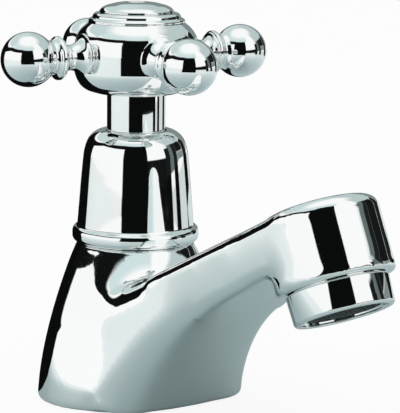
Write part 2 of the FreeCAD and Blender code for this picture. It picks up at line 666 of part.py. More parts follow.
def make_hub():
    """The barrel-shaped hub with its bores, spot faces and the splined bush."""
    foot_height, top = "hub_foot", "hub_top"
    web_top = "hub_web + web_thick"
    barrel = turned("hub_turning", [
        ("sleeve_radius + slip", foot_height), ("hub_base", foot_height),
        by("hub_base + 4.5", f"{foot_height} + 1.75"), ("hub_radius - 0.1", "arm_height - 4.5"),
        by("hub_radius", "arm_height"), ("hub_radius - 0.5", "arm_height + 4.7"),
        by("hub_radius - 1.75", "arm_height + 7.3"), ("hub_radius - 4.1", f"{top} - 2.6"),
        ("hub_radius - 3.9", f"{top} - 2.1"), ("hub_radius - 4.3", f"{top} - 1.6"),
        ("hub_radius - 5.1", f"{top} - 1.4"), ("hub_radius - 5.4", f"{top} - 0.4"),
        ("hub_radius - 6.0", top), ("recess_radius", top), ("recess_radius", web_top),
        ("shank_radius + 0.2", web_top), ("shank_radius + 0.2", "hub_web"),
        ("bush_radius + slip", "hub_web"), ("bush_radius + slip", f"{foot_height} + sleeve_seat"),
        ("sleeve_radius + slip", f"{foot_height} + sleeve_seat"),
    ])
    seats = []
    for number, side in enumerate(ARM_NAMES):
        seat = turned(f"arm_seat_{side}", [
            ("arm_seat - tenon_length - 0.3", "0"),
            ("arm_seat - tenon_length - 0.3", "tenon_radius + slip"),
            ("arm_seat", "tenon_radius + slip"), ("arm_seat", "arm_root + slip"),
            ("hub_radius + 2", "arm_root + slip"), ("hub_radius + 2", "0"),
        ], "H_Axis")
        seats.append(on_arm(seat, number))
    node("handle_hub", cut("hub", barrel, fuse("arm_seats", *seats)))
    bush_foot = f"{foot_height} + sleeve_seat - 1.6"
    node("spline_bush", ring("bush", "spindle_radius + slip", "bush_radius", bush_foot,
                             f"hub_web - 0.1 - ({bush_foot})"))
    node("handle_sleeve", turned("sleeve", [
        ("sleeve_bore", "sleeve_foot"), ("sleeve_radius", "sleeve_foot"),
        ("sleeve_radius", f"{foot_height} + sleeve_seat"),
        ("sleeve_bore", f"{foot_height} + sleeve_seat"),
    ]))


def make_arms():
    """Four turned arms: trumpet root, beaded collar and ball, on a screwed tenon."""
    ball_start = "sqrt(ball_radius * ball_radius - 16)"
    for number, side in enumerate(ARM_NAMES):
        arm = turned(f"arm_{side}", [
            ("arm_seat - tenon_length", "0"), ("arm_seat - tenon_length", "tenon_radius"),
            ("arm_seat", "tenon_radius"), ("arm_seat", "arm_root"),
            ("arm_seat + 0.6", "arm_root"),
            by("arm_seat + 1.9", "waist_radius + 0.75"), ("waist_place", "waist_radius"),
            by("rim_place - 2.2", "waist_radius + 0.75"),
            ("rim_place - 1.2", "rim_radius - 0.8"), ("rim_place - 0.8", "rim_radius - 0.7"),
            ("rim_place - 0.5", "rim_radius - 0.1"), by("rim_place", "rim_radius"),
            ("rim_place + 0.5", "rim_radius - 0.1"),
            by("rim_place + 1.4", "notch_radius + 0.3"), ("notch_place", "notch_radius"),
            by("(notch_place + ball_place - 4) / 2", "notch_radius + 0.45"),
            ("ball_place - 4", ball_start), by("ball_place", "ball_radius"),
            ("ball_place + ball_radius", "0"),
        ], "H_Axis")
        node(f"handle_arm_{side}", on_arm(arm, number))


def make_cap():
    """Handle screw, index cap with its plain disc and the seal ring that grips the cap."""
    web_top = "hub_web + web_thick"
    node("handle_screw", turned("screw", [
        ("0", f"{web_top} - shank_length"), ("shank_radius", f"{web_top} - shank_length"),
        ("shank_radius", web_top), ("head_radius", web_top),
        ("head_radius", f"{web_top} + head_height * 0.6"),
        ("head_radius * 0.7", f"{web_top} + head_height"),
        ("1.5", f"{web_top} + head_height"), ("0", f"{web_top} + head_height * 0.3"),
    ]))
    skirt = "recess_radius - 0.15"
    grip = "recess_radius - 1.0"
    shoulder = "hub_top + cap_rise"
    hollow_top = "hub_top + cap_rise - 0.7"
    node("index_cap", turned("cap", [
        ("recess_radius - 2.4", "hub_top - cap_skirt"), (skirt, "hub_top - cap_skirt"),
        (skirt, "hub_top - cap_skirt + 0.9"), (grip, "hub_top - cap_skirt + 0.9"),
        (grip, "hub_top - cap_skirt + 2.3"), (skirt, "hub_top - cap_skirt + 2.3"),
        (skirt, "hub_top"), ("cap_radius - 0.2", "hub_top"), ("cap_radius", "hub_top + 0.3"),
        ("cap_radius - 0.2", "hub_top + 0.7"),
        by("cap_shoulder + 0.5", "hub_top + cap_rise * 0.65"), ("cap_shoulder", shoulder),
        by("cap_shoulder * 0.5 + badge_radius * 0.5 + 0.8", f"{shoulder} + cap_dome * 0.72"),
        ("badge_radius + slip", f"{shoulder} + cap_dome"),
        ("badge_radius + slip", f"{shoulder} + cap_dome - badge_thick"),
        ("0", f"{shoulder} + cap_dome - badge_thick"), ("0", hollow_top),
        ("recess_radius - 2.4", hollow_top),
    ]))
    disc_foot = f"{shoulder} + cap_dome - badge_thick"
    node("index_disc", turned("disc", [
        ("0", disc_foot), ("badge_radius", disc_foot), ("badge_radius", f"{shoulder} + cap_dome"),
        ("badge_radius - 0.3", f"{shoulder} + cap_dome + 0.2"),
        ("0", f"{shoulder} + cap_dome + 0.2"),
    ]))
    grip_ring = document.addObject("Part::Torus", "cap_ring")
    bind(grip_ring, Radius1="recess_radius - 0.5 - slip", Radius2="0.45",
         Placement__Base__z="hub_top - cap_skirt + 1.6")
    node("cap_seal", grip_ring)


# ---------------------------------------------------------------- the aerator

def mesh_holes():
    """The square holes of the mesh, on a grid, clear of its rim."""
    pitch, hole = size("mesh_pitch"), size("mesh_hole")
    limit = size("cartridge_radius - 0.9")
    reach = int(limit / pitch)
    holes = []
    for column in range(-reach, reach + 1):
        for line in range(-reach, reach + 1):
            corner = math.hypot(abs(column) * pitch + hole / 2, abs(line) * pitch + hole / 2)
            if corner < limit:
                place = Vector(column * pitch - hole / 2, line * pitch - hole / 2, -1)
                holes.append(Part.makeBox(hole, hole, 2 + size("mesh_thick"), place))
    return Part.makeCompound(holes)


def make_aerator():
    """Aerator under the nose: housing, mesh, cartridge and sealing ring."""
    floor = "-housing_drop + mesh_rise"
    node("aerator_housing", on_outlet(turned("housing", [
        ("mouth_radius", "-housing_drop + 0.3"), ("mouth_radius + 0.3", "-housing_drop"),
        ("housing_foot - housing_edge", "-housing_drop"),
        by("housing_foot - housing_edge * 0.2929", "-housing_drop + housing_edge * 0.2929"),
        ("housing_foot", "-housing_drop + housing_edge"), ("housing_top", "-0.6"),
        ("housing_top - 0.4", "-0.2"), ("aerator_thread", "-0.2"),
        ("aerator_thread", "thread_rise - 0.5"), ("aerator_thread - 0.5", "thread_rise"),
        ("cartridge_radius + slip", "thread_rise"), ("cartridge_radius + slip", floor),
        ("cartridge_radius - 0.5", floor), ("cartridge_radius - 0.5", f"{floor} - 0.6"),
        ("mouth_radius", f"{floor} - 0.6"),
    ])))
    disc = ring("mesh_disc", "0", "cartridge_radius", "0", "mesh_thick")
    net = cut("mesh", disc, shaped("mesh_holes", mesh_holes()))
    on_outlet(net)
    bind(net, Placement__Base__x=f"outlet_reach - ({floor}) * sin(spout_rise)",
         Placement__Base__z=f"outlet_height + ({floor}) * cos(spout_rise)")
    node("aerator_mesh", net)
    above_mesh = f"{floor} + mesh_thick"
    node("aerator_cartridge", on_outlet(turned("cartridge", [
        ("0", f"{above_mesh} + 4"), ("cartridge_radius - 2", f"{above_mesh} + 4"),
        ("cartridge_radius - 1.6", above_mesh), ("cartridge_radius", above_mesh),
        ("cartridge_radius", "thread_rise"), ("cartridge_radius - 2.4", "thread_rise"),
        ("cartridge_radius - 3.4", "thread_rise - 3"), ("0", "thread_rise - 3"),
    ])))
    node("aerator_seal", on_outlet(ring("seal", "plenum_radius", "aerator_thread - 0.2",
                                        "thread_rise", "seal_thick")))


# ---------------------------------------------------------------- build

def check(items):
    """Stops unless every object is sound and every piece is a valid solid."""
    for item in items:
        if "Invalid" in item.State or "Error" in item.State:
            raise RuntimeError(f"{item.Name} failed: {item.State}")
    for name, item in NODES.items():
        shape = item.Shape
        if shape.isNull() or not shape.isValid() or not shape.Solids:
            raise RuntimeError(f"{name} is not a valid solid")
        print(f"{name}: {len(shape.Solids)} solid(s), {shape.Volume:.1f} mm3")


make_body()
make_fixings()
make_headwork()
make_bell()
make_valve()
make_spindle()
make_hub()
make_arms()
make_cap()
make_aerator()
document.recompute()
check(document.Objects)

os.makedirs("parts", exist_ok=True)
for name, item in NODES.items():
    item.Shape.exportStep(f"parts/{name}.step")
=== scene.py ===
"""A chromed pillar tap with a cross handle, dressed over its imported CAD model.

Lengths of the tap and of the camera are millimetres in the row frame: the origin
lies on the tail's axis at the plane of the deck, +Z runs up the valve and +X towards
the outlet. A piece is built in millimetres and leaves the workshop in metres.
Lengths of the finishes and of the studio are metres.
"""

import logging
import math
from dataclasses import dataclass
from enum import Enum
from typing import Iterable

import bmesh
import bpy
from mathutils import Matrix, Vector


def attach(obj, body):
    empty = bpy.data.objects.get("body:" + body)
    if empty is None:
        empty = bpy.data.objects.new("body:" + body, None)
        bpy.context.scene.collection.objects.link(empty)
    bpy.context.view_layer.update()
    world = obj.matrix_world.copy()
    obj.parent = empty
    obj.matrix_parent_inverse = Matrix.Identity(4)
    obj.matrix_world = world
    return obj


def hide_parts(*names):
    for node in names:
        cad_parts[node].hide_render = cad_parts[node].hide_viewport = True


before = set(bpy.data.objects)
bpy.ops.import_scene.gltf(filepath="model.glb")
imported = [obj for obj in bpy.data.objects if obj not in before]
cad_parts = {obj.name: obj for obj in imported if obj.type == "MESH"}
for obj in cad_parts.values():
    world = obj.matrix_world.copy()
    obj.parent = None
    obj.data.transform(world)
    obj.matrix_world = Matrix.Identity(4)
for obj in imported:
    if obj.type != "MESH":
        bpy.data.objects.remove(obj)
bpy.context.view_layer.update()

LOG = logging.getLogger("tap")
MM = 0.001
MERGE_DISTANCE = 0.0004

Shape = bmesh.types.BMesh
Edge = bmesh.types.BMEdge
Point = bmesh.types.BMVert
Corner = tuple[float, float, float]
Colour = tuple[float, float, float]
Number = "float | Signal"


# ---------------------------------------------------------------- shader maths

class Signal:
    """A socket that takes part in Python expressions, which add Math nodes."""

    def __init__(self, graph: "Graph", socket: bpy.types.NodeSocket | None) -> None:
        """Keeps the graph that new nodes go into and the socket."""
        self.graph = graph
        self.socket = socket

    def _math(self, operation: str, *values: Number) -> "Signal":
        """Adds one Math node.

        Args:
            operation: the Math node's operation.
            values: numbers or signals for its inputs, in order.

        Returns:
            The node's result.
        """
        inputs = dict(enumerate(values))
        return self.graph.node("ShaderNodeMath", {"operation": operation}, inputs)

    def __add__(self, other: Number) -> "Signal":
        """Adds."""
        return self._math("ADD", self, other)

    def __rsub__(self, other: Number) -> "Signal":
        """Subtracts from a number."""
        return self._math("SUBTRACT", other, self)

    def __mul__(self, other: Number) -> "Signal":
        """Multiplies."""
        return self._math("MULTIPLY", self, other)

    def between(self, low: float, high: float) -> "Signal":
        """Maps the range from low to high onto 0 to 1, clamped.

        Args:
            low: what becomes 0.
            high: what becomes 1.

        Returns:
            The mapped signal.
        """
        inputs = {"Value": self, "From Min": low, "From Max": high}
        return self.graph.node("ShaderNodeMapRange", {"clamp": True}, inputs)


class Graph:
    """The node tree of one material or of the world."""

    def __init__(self, tree: bpy.types.NodeTree) -> None:
        """Starts from an empty tree."""
        self.tree = tree
        tree.nodes.clear()

    def node(self, kind: str, settings: dict | None = None, inputs: dict | None = None,
             output: str | int = 0) -> Signal:
        """Adds a node.

        Args:
            kind: the node's type.
            settings: its properties, set before the inputs.
            inputs: numbers, colours or signals for its inputs, by name or index.
            output: the output that is returned.

        Returns:
            The chosen output, or an empty signal where the node has none.
        """
        made = self.tree.nodes.new(kind)
        for name, value in (settings or {}).items():
            setattr(made, name, value)
        for name, value in (inputs or {}).items():
            if isinstance(value, Signal):
                self.tree.links.new(value.socket, made.inputs[name])
            else:
                made.inputs[name].default_value = value
        return Signal(self, made.outputs[output] if made.outputs else None)

    def seen(self) -> Signal:
        """Tells the rays that see the background from those that light the tap.

        Returns:
            1 for a ray of the camera, a reflection or a transmission, and else 0.
        """
        rays = [self.node("ShaderNodeLightPath", output=f"Is {kind} Ray")
                for kind in ("Camera", "Glossy", "Transmission")]
        return (rays[0] + rays[1] + rays[2]).between(0.0, 1.0)

    def place(self) -> Signal:
        """The object's own coordinates, in metres."""
        return self.node("ShaderNodeTexCoord", output="Object")

    def noise(self, scale: float, detail: float = 2.0, stretch: tuple = (1, 1, 1)) -> Signal:
        """Noise over the object's coordinates.

        Args:
            scale: features per metre.
            detail: octaves.
            stretch: a factor for each axis.

        Returns:
            The noise, from 0 to 1.
        """
        where = self.node("ShaderNodeMapping", inputs={"Vector": self.place(), "Scale": stretch})
        return self.node("ShaderNodeTexNoise",
                         inputs={"Vector": where, "Scale": scale, "Detail": detail})

    def mixed(self, share: Number, first: "tuple | Signal", second: "tuple | Signal") -> Signal:
        """A colour between two.

        Args:
            share: 0 gives the first colour and 1 the second.
            first: a colour of three numbers, or a signal.
            second: a colour of three numbers, or a signal.

        Returns:
            The colour.
        """
        first, second = (colour if isinstance(colour, Signal) else (*colour, 1.0)
                         for colour in (first, second))
        return self.node("ShaderNodeMix", {"data_type": "RGBA"},
                         {0: share, 6: first, 7: second}, output=2)

    def bump(self, height: Signal, depth: float, strength: float = 1.0) -> Signal:
        """A bump of a given depth.

        Args:
            height: the relief, from 0 to 1.
            depth: its depth in metres.
            strength: how far it counts.

        Returns:
            The normal.
        """
        return self.node("ShaderNodeBump",
                         inputs={"Height": height, "Distance": depth, "Strength": strength})


# ---------------------------------------------------------------- finishes

@dataclass(frozen=True)
class Look:
    """A material by its name; a subclass adds its nodes."""

    name: str

    def surface(self, graph: Graph) -> Signal:
        """Adds the nodes and returns the shader."""
        raise NotImplementedError

    def make(self) -> bpy.types.Material:
        """Makes the material.

        Returns:
            The material, ready for a mesh.
        """
        material = bpy.data.materials.new(self.name)
        material.use_nodes = True
        graph = Graph(material.node_tree)
        graph.node("ShaderNodeOutputMaterial", inputs={"Surface": self.surface(graph)})
        return material


@dataclass(frozen=True)
class Finish(Look):
    """A surface finish; a subclass says how its colour, gloss and relief vary."""

    colour: Colour
    roughness: float

    def dress(self, graph: Graph) -> dict:
        """The inputs of the surface shader that this finish sets."""
        raise NotImplementedError

    def surface(self, graph: Graph) -> Signal:
        """The surface shader with the inputs that the finish sets."""
        return graph.node("ShaderNodeBsdfPrincipled", inputs=self.dress(graph))

    def tinted(self, *factors: float) -> Colour:
        """The colour times one factor for all channels, or times one for each."""
        return tuple(channel * factor for channel, factor in
                     zip(self.colour, factors * (3 // len(factors))))


@dataclass(frozen=True)
class Chrome(Finish):
    """Bright chromium plate: hand-polished under the plate, with faint wipe marks."""

    swell: float = 0.000006

    def dress(self, graph: Graph) -> dict:
        """Adds the finish's nodes.

        Args:
            graph: the material's nodes.

        Returns:
            The inputs of the surface shader that this finish sets.
        """
        wipes = graph.noise(140.0, 4.0, (1.0, 1.0, 0.35))
        haze = graph.noise(28.0, 2.0)
        return {
            "Metallic": 1.0,
            "Base Color": graph.mixed(haze.between(0.35, 0.7), self.tinted(0.975),
                                      self.colour),
            "Roughness": wipes.between(0.45, 0.85) * 0.03 + self.roughness,
            "Normal": graph.bump(graph.noise(70.0, 1.0), self.swell),
        }


@dataclass(frozen=True)
class Brass(Finish):
    """Bare machined brass: fine lathe lines round the piece, dulled in patches."""

    lines: float = 5200.0

    def dress(self, graph: Graph) -> dict:
        """Adds the finish's nodes.

        Args:
            graph: the material's nodes.

        Returns:
            The inputs of the surface shader that this finish sets.
        """
        lines = graph.noise(self.lines, 1.0, (0.02, 0.02, 1.0))
        dull = graph.noise(160.0, 3.0)
        tarnished = self.tinted(0.78, 0.7, 0.58)
        return {
            "Metallic": 1.0,
            "Base Color": graph.mixed(dull.between(0.45, 0.8), self.colour, tarnished),
            "Roughness": dull.between(0.3, 0.8) * 0.16 + lines * 0.1 + self.roughness,
            "Normal": graph.bump(lines, 0.00002, 0.6),
        }


@dataclass(frozen=True)
class Rubber(Finish):
    """Moulded rubber: dark, slightly mottled, with a fine grain and pale dust."""

    grain: float = 2600.0

    def dress(self, graph: Graph) -> dict:
        """Adds the finish's nodes.

        Args:
            graph: the material's nodes.

        Returns:
            The inputs of the surface shader that this finish sets.
        """
        dust = graph.noise(220.0, 4.0)
        grain = graph.noise(self.grain, 2.0)
        dusty = tuple(min(1.0, channel * 1.8 + 0.012) for channel in self.colour)
        return {
            "Base Color": graph.mixed(dust.between(0.5, 0.85), self.colour, dusty),
            "Roughness": dust * 0.2 + self.roughness,
            "Specular IOR Level": 0.35,
            "Normal": graph.bump(grain, 0.00004, 0.7),
        }


@dataclass(frozen=True)
class Foam(Finish):
    """Closed-cell foam: small round cells, a little darker between them, where the relief is low:
    painted shade.
    """

    cells: float = 1500.0

    def dress(self, graph: Graph) -> dict:
        """Adds the finish's nodes.

        Args:
            graph: the material's nodes.

        Returns:
            The inputs of the surface shader that this finish sets.
        """
        cell = graph.node("ShaderNodeTexVoronoi",
                          inputs={"Vector": graph.place(), "Scale": self.cells})
        # darker towards the seams between cells, where the bump is lowest: painted shade in the
        # seams
        shade = self.tinted(0.8)
        return {
            "Base Color": graph.mixed(cell.between(0.2, 0.75), self.colour, shade),
            "Roughness": cell * 0.1 + self.roughness,
            "Normal": graph.bump(1.0 - cell, 0.0001, 0.8),
        }


@dataclass(frozen=True)
class Fibre(Finish):
    """Pressed fibre or wound packing: strands, longest along the piece's height."""

    strands: float = 1800.0

    def dress(self, graph: Graph) -> dict:
        """Adds the finish's nodes.

        Args:
            graph: the material's nodes.

        Returns:
            The inputs of the surface shader that this finish sets.
        """
        strand = graph.noise(self.strands, 3.0, (1.0, 1.0, 0.3))
        shade = self.tinted(0.6)
        return {
            "Base Color": graph.mixed(strand.between(0.35, 0.7), shade, self.colour),
            "Roughness": strand * 0.15 + self.roughness,
            "Normal": graph.bump(strand, 0.00008, 0.8),
        }


@dataclass(frozen=True)
class Moulded(Finish):
    """Moulded plastic or enamel: even colour with the faint swell of the mould."""

    gloss: float = 0.5

    def dress(self, graph: Graph) -> dict:
        """Adds the finish's nodes.

        Args:
            graph: the material's nodes.

        Returns:
            The inputs of the surface shader that this finish sets.
        """
        swell = graph.noise(300.0, 2.0)
        shade = self.tinted(0.94)
        return {
            "Base Color": graph.mixed(swell.between(0.3, 0.7), self.colour, shade),
            "Roughness": swell * 0.08 + self.roughness,
            "Specular IOR Level": self.gloss,
            "Normal": graph.bump(graph.noise(900.0), 0.000015, 0.6),
        }


@dataclass(frozen=True)
class Steel(Finish):
    """Drawn or turned steel: short bright lines over a grey ground."""

    lines: float = 3500.0

    def dress(self, graph: Graph) -> dict:
        """Adds the finish's nodes.

        Args:
            graph: the material's nodes.

        Returns:
            The inputs of the surface shader that this finish sets.
        """
        lines = graph.noise(self.lines, 2.0, (1.0, 0.15, 0.4))
        shade = self.tinted(0.8)
        return {
            "Metallic": 1.0,
            "Base Color": graph.mixed(lines.between(0.3, 0.7), self.colour, shade),
            "Roughness": lines * 0.12 + self.roughness,
            "Normal": graph.bump(lines, 0.00001, 0.5),
        }


class Surface(Enum):
    """The finishes of the tap, each with the record's material slot."""

    CHROME = ("chromed_brass", Chrome("bright_chrome", (0.95, 0.965, 0.963), 0.03))
    BRASS = ("plain_brass", Brass("turned_brass", (0.80, 0.60, 0.30), 0.2))
    RUBBER = ("black_rubber", Rubber("black_rubber", (0.022, 0.022, 0.024), 0.55))
    FOAM = ("foam", Foam("white_foam", (0.82, 0.82, 0.79), 0.8))
    FIBRE = ("fibre", Fibre("red_fibre", (0.36, 0.10, 0.06), 0.6))
    PACKING = ("packing", Fibre("wound_packing", (0.74, 0.70, 0.62), 0.7))
    # The steel's colour is darkened well below that of bare steel: painted shade for the woven mesh
    # deep in the aerator's mouth, shared by the handle screw.
    STEEL = ("steel", Steel("shade_darkened_steel", (0.12, 0.13, 0.13), 0.4))
    PLASTIC = ("white_plastic", Moulded("white_plastic", (0.83, 0.83, 0.81), 0.35))
    BADGE = ("badge", Moulded("white_enamel", (0.86, 0.87, 0.86), 0.08))

    @property
    def slot(self) -> str:
        """The record's material slot."""
        return self.value[0]

    @property
    def finish(self) -> Finish:
        """How the surface looks."""
        return self.value[1]


# ---------------------------------------------------------------- the workshop

def add_object(name: str, shape: Shape,
               material: bpy.types.Material | None = None) -> bpy.types.Object:
    """Puts a shape into the scene.

    Args:
        name: the name of the object and of its mesh.
        shape: its shape; it is freed.
        material: its surface, where it has one.

    Returns:
        The object.
    """
    mesh = bpy.data.meshes.new(name)
    shape.to_mesh(mesh)
    shape.free()
    if material:
        mesh.materials.append(material)
    made = bpy.data.objects.new(name, mesh)
    bpy.context.scene.collection.objects.link(made)
    return made


def remove_object(passing: bpy.types.Object) -> None:
    """Deletes an object with its mesh.

    Args:
        passing: the object.
    """
    mesh = passing.data
    bpy.data.objects.remove(passing)
    bpy.data.meshes.remove(mesh)


class Workshop:
    """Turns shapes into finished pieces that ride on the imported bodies."""

    def __init__(self) -> None:
        """Makes every material once."""
        self.materials = {surface: surface.finish.make() for surface in Surface}

    def piece(self, name: str, shape: Shape, surface: Surface, body: str,
              *nodes: str) -> bpy.types.Object:
        """Finishes a shape as a piece of the tap.

        Args:
            name: the piece's name.
            shape: its shape in millimetres; it is freed.
            surface: its finish.
            body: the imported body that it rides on.
            nodes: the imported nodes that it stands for.

        Returns:
            The finished object.
        """
        bmesh.ops.scale(shape, vec=(MM, MM, MM), verts=shape.verts)
        made = add_object(name, shape, self.materials[surface])
        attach(made, body)
        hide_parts(*nodes)
        LOG.info("%s rides on %s: %d faces", name, body, len(made.data.polygons))
        return made

    def keep(self, surface: Surface, *nodes: str) -> None:
        """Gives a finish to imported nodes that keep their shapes.

        Args:
            surface: the finish.
            nodes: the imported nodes.
        """
        for name in nodes:
            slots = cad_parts[name].data.materials
            slots.clear()
            slots.append(self.materials[surface])
            LOG.info("%s keeps its packed shape", name)


def shade(shape: Shape, crease: float = 38.0) -> Shape:
    """Smooths the shading of a shape but for its sharp edges.

    Args:
        shape: the shape.
        crease: the angle in degrees above which an edge stays sharp.

    Returns:
        The same shape.
    """
    for face in shape.faces:
        face.smooth = True
    for edge in shape.edges:
        edge.smooth = edge.calc_face_angle(0.0) < math.radians(crease)
    return shape


def outwards(shape: Shape) -> Shape:
    """Merges doubles and turns the faces of a closed shape outwards.

    Args:
        shape: the shape, in millimetres.

    Returns:
        The same shape.
    """
    bmesh.ops.remove_doubles(shape, verts=shape.verts, dist=MERGE_DISTANCE)
    bmesh.ops.recalc_face_normals(shape, faces=shape.faces)
    if shape.calc_volume(signed=True) < 0:
        bmesh.ops.reverse_faces(shape, faces=shape.faces)
    return shape


def outline(shape: Shape, corners: Iterable[Corner], closed: bool, segments: int = 5) -> list[Edge]:
    """Draws a wire through corners and rounds each of them.

    Args:
        shape: what the wire is drawn in.
        corners: (x, z, reach of the rounding along both sides) of each corner.
        closed: whether the last corner joins the first.
        segments: edges in each rounding.

    Returns:
        The wire's edges.
    """
    before = set(shape.edges)
    corners = list(corners)
    points = [shape.verts.new((x, 0.0, z)) for x, z, _ in corners]
    followers = points[1:] + points[:1] if closed else points[1:]
    for start, stop in zip(points, followers):
        shape.edges.new((start, stop))
    for reach in sorted({reach for _, _, reach in corners if reach > 0}):
        chosen = [point for point, corner in zip(points, corners) if corner[2] == reach]
        bmesh.ops.bevel(shape, geom=chosen, offset=reach, offset_type="OFFSET",
                        segments=segments, profile=0.5, affect="VERTICES", material=-1)
    return [edge for edge in shape.edges if edge not in before]


def turned(corners: Iterable[Corner], closed: bool = False, steps: int = 128,
           segments: int = 5) -> Shape:
    """Spins a rounded outline about the Z axis.

    Args:
        corners: (radius, height, reach of the rounding) of each corner.
        closed: whether the outline is closed, as for a ring.
        steps: steps of the full turn.
        segments: edges in each rounding.

    Returns:
        The turned shape.
    """
    shape = bmesh.new()
    outline(shape, corners, closed, segments)
    bmesh.ops.spin(shape, geom=shape.verts[:] + shape.edges[:], cent=(0, 0, 0),
                   axis=(0, 0, 1), dvec=(0, 0, 0), angle=math.tau, steps=steps,
                   use_merge=True, use_duplicate=False)
    return outwards(shape)


def join(*shapes: Shape) -> Shape:
    """Puts shapes into one, side by side.

    Args:
        shapes: the shapes; they are freed.

    Returns:
        The shape that holds them all.
    """
    whole = bmesh.new()
    for shape in shapes:
        mesh = bpy.data.meshes.new("part")
        shape.to_mesh(mesh)
        shape.free()
        whole.from_mesh(mesh)
        bpy.data.meshes.remove(mesh)
    return whole


def through_modifiers(shape: Shape, **modifiers: dict) -> Shape:
    """Runs a shape through modifiers on a passing object.

    Args:
        shape: the shape; it is freed.
        modifiers: the settings of each modifier, by its type in lower case.

    Returns:
        The resulting shape.
    """
    passing = add_object("passing", shape)
    for kind, settings in modifiers.items():
        modifier = passing.modifiers.new(kind, kind.upper())
        for name, value in settings.items():
            setattr(modifier, name, value)
    bpy.context.view_layer.update()
    evaluated = passing.evaluated_get(bpy.context.evaluated_depsgraph_get())
    result = bmesh.new()
    result.from_mesh(evaluated.to_mesh())
    evaluated.to_mesh_clear()
    remove_object(passing)
    return result


def cut_by(shape: Shape, cutter: Shape) -> Shape:
    """Takes a cutter out of a shape.

    Args:
        shape: the shape; it is freed.
        cutter: what is cut away; it is freed.

    Returns:
        The cut shape.
    """
    tool = add_object("cutter", cutter)
    result = through_modifiers(
        shape, boolean={"object": tool, "operation": "DIFFERENCE", "solver": "MANIFOLD"})
    remove_object(tool)
    return result


# ---------------------------------------------------------------- the casting

@dataclass
class Outlet:
    """The tilted axis of the nose and the aerator."""

    reach: float = 90.4
    height: float = 46.9
    rise: float = 25.2

    def stand(self, shape: Shape) -> Shape:
        """Moves a shape drawn about Z onto the outlet's axis, its lip at the origin.

        Args:
            shape: the shape, with the lip at its origin.

        Returns:
            The same shape, in place.
        """
        turn = Matrix.Rotation(-math.radians(self.rise), 4, "Y")
        bmesh.ops.transform(shape, verts=shape.verts,
                            matrix=Matrix.Translation((self.reach, 0, self.height)) @ turn)
        return shape

    @property
    def up(self) -> Vector:
        """The axis, upwards."""
        rise = math.radians(self.rise)
        return Vector((-math.sin(rise), 0.0, math.cos(rise)))

    @property
    def ahead(self) -> Vector:
        """The direction of the spout's top, forwards."""
        rise = math.radians(self.rise)
        return Vector((math.cos(rise), 0.0, math.sin(rise)))

    @property
    def lip(self) -> Vector:
        """The middle of the nose's lip."""
        return Vector((self.reach, 0.0, self.height))


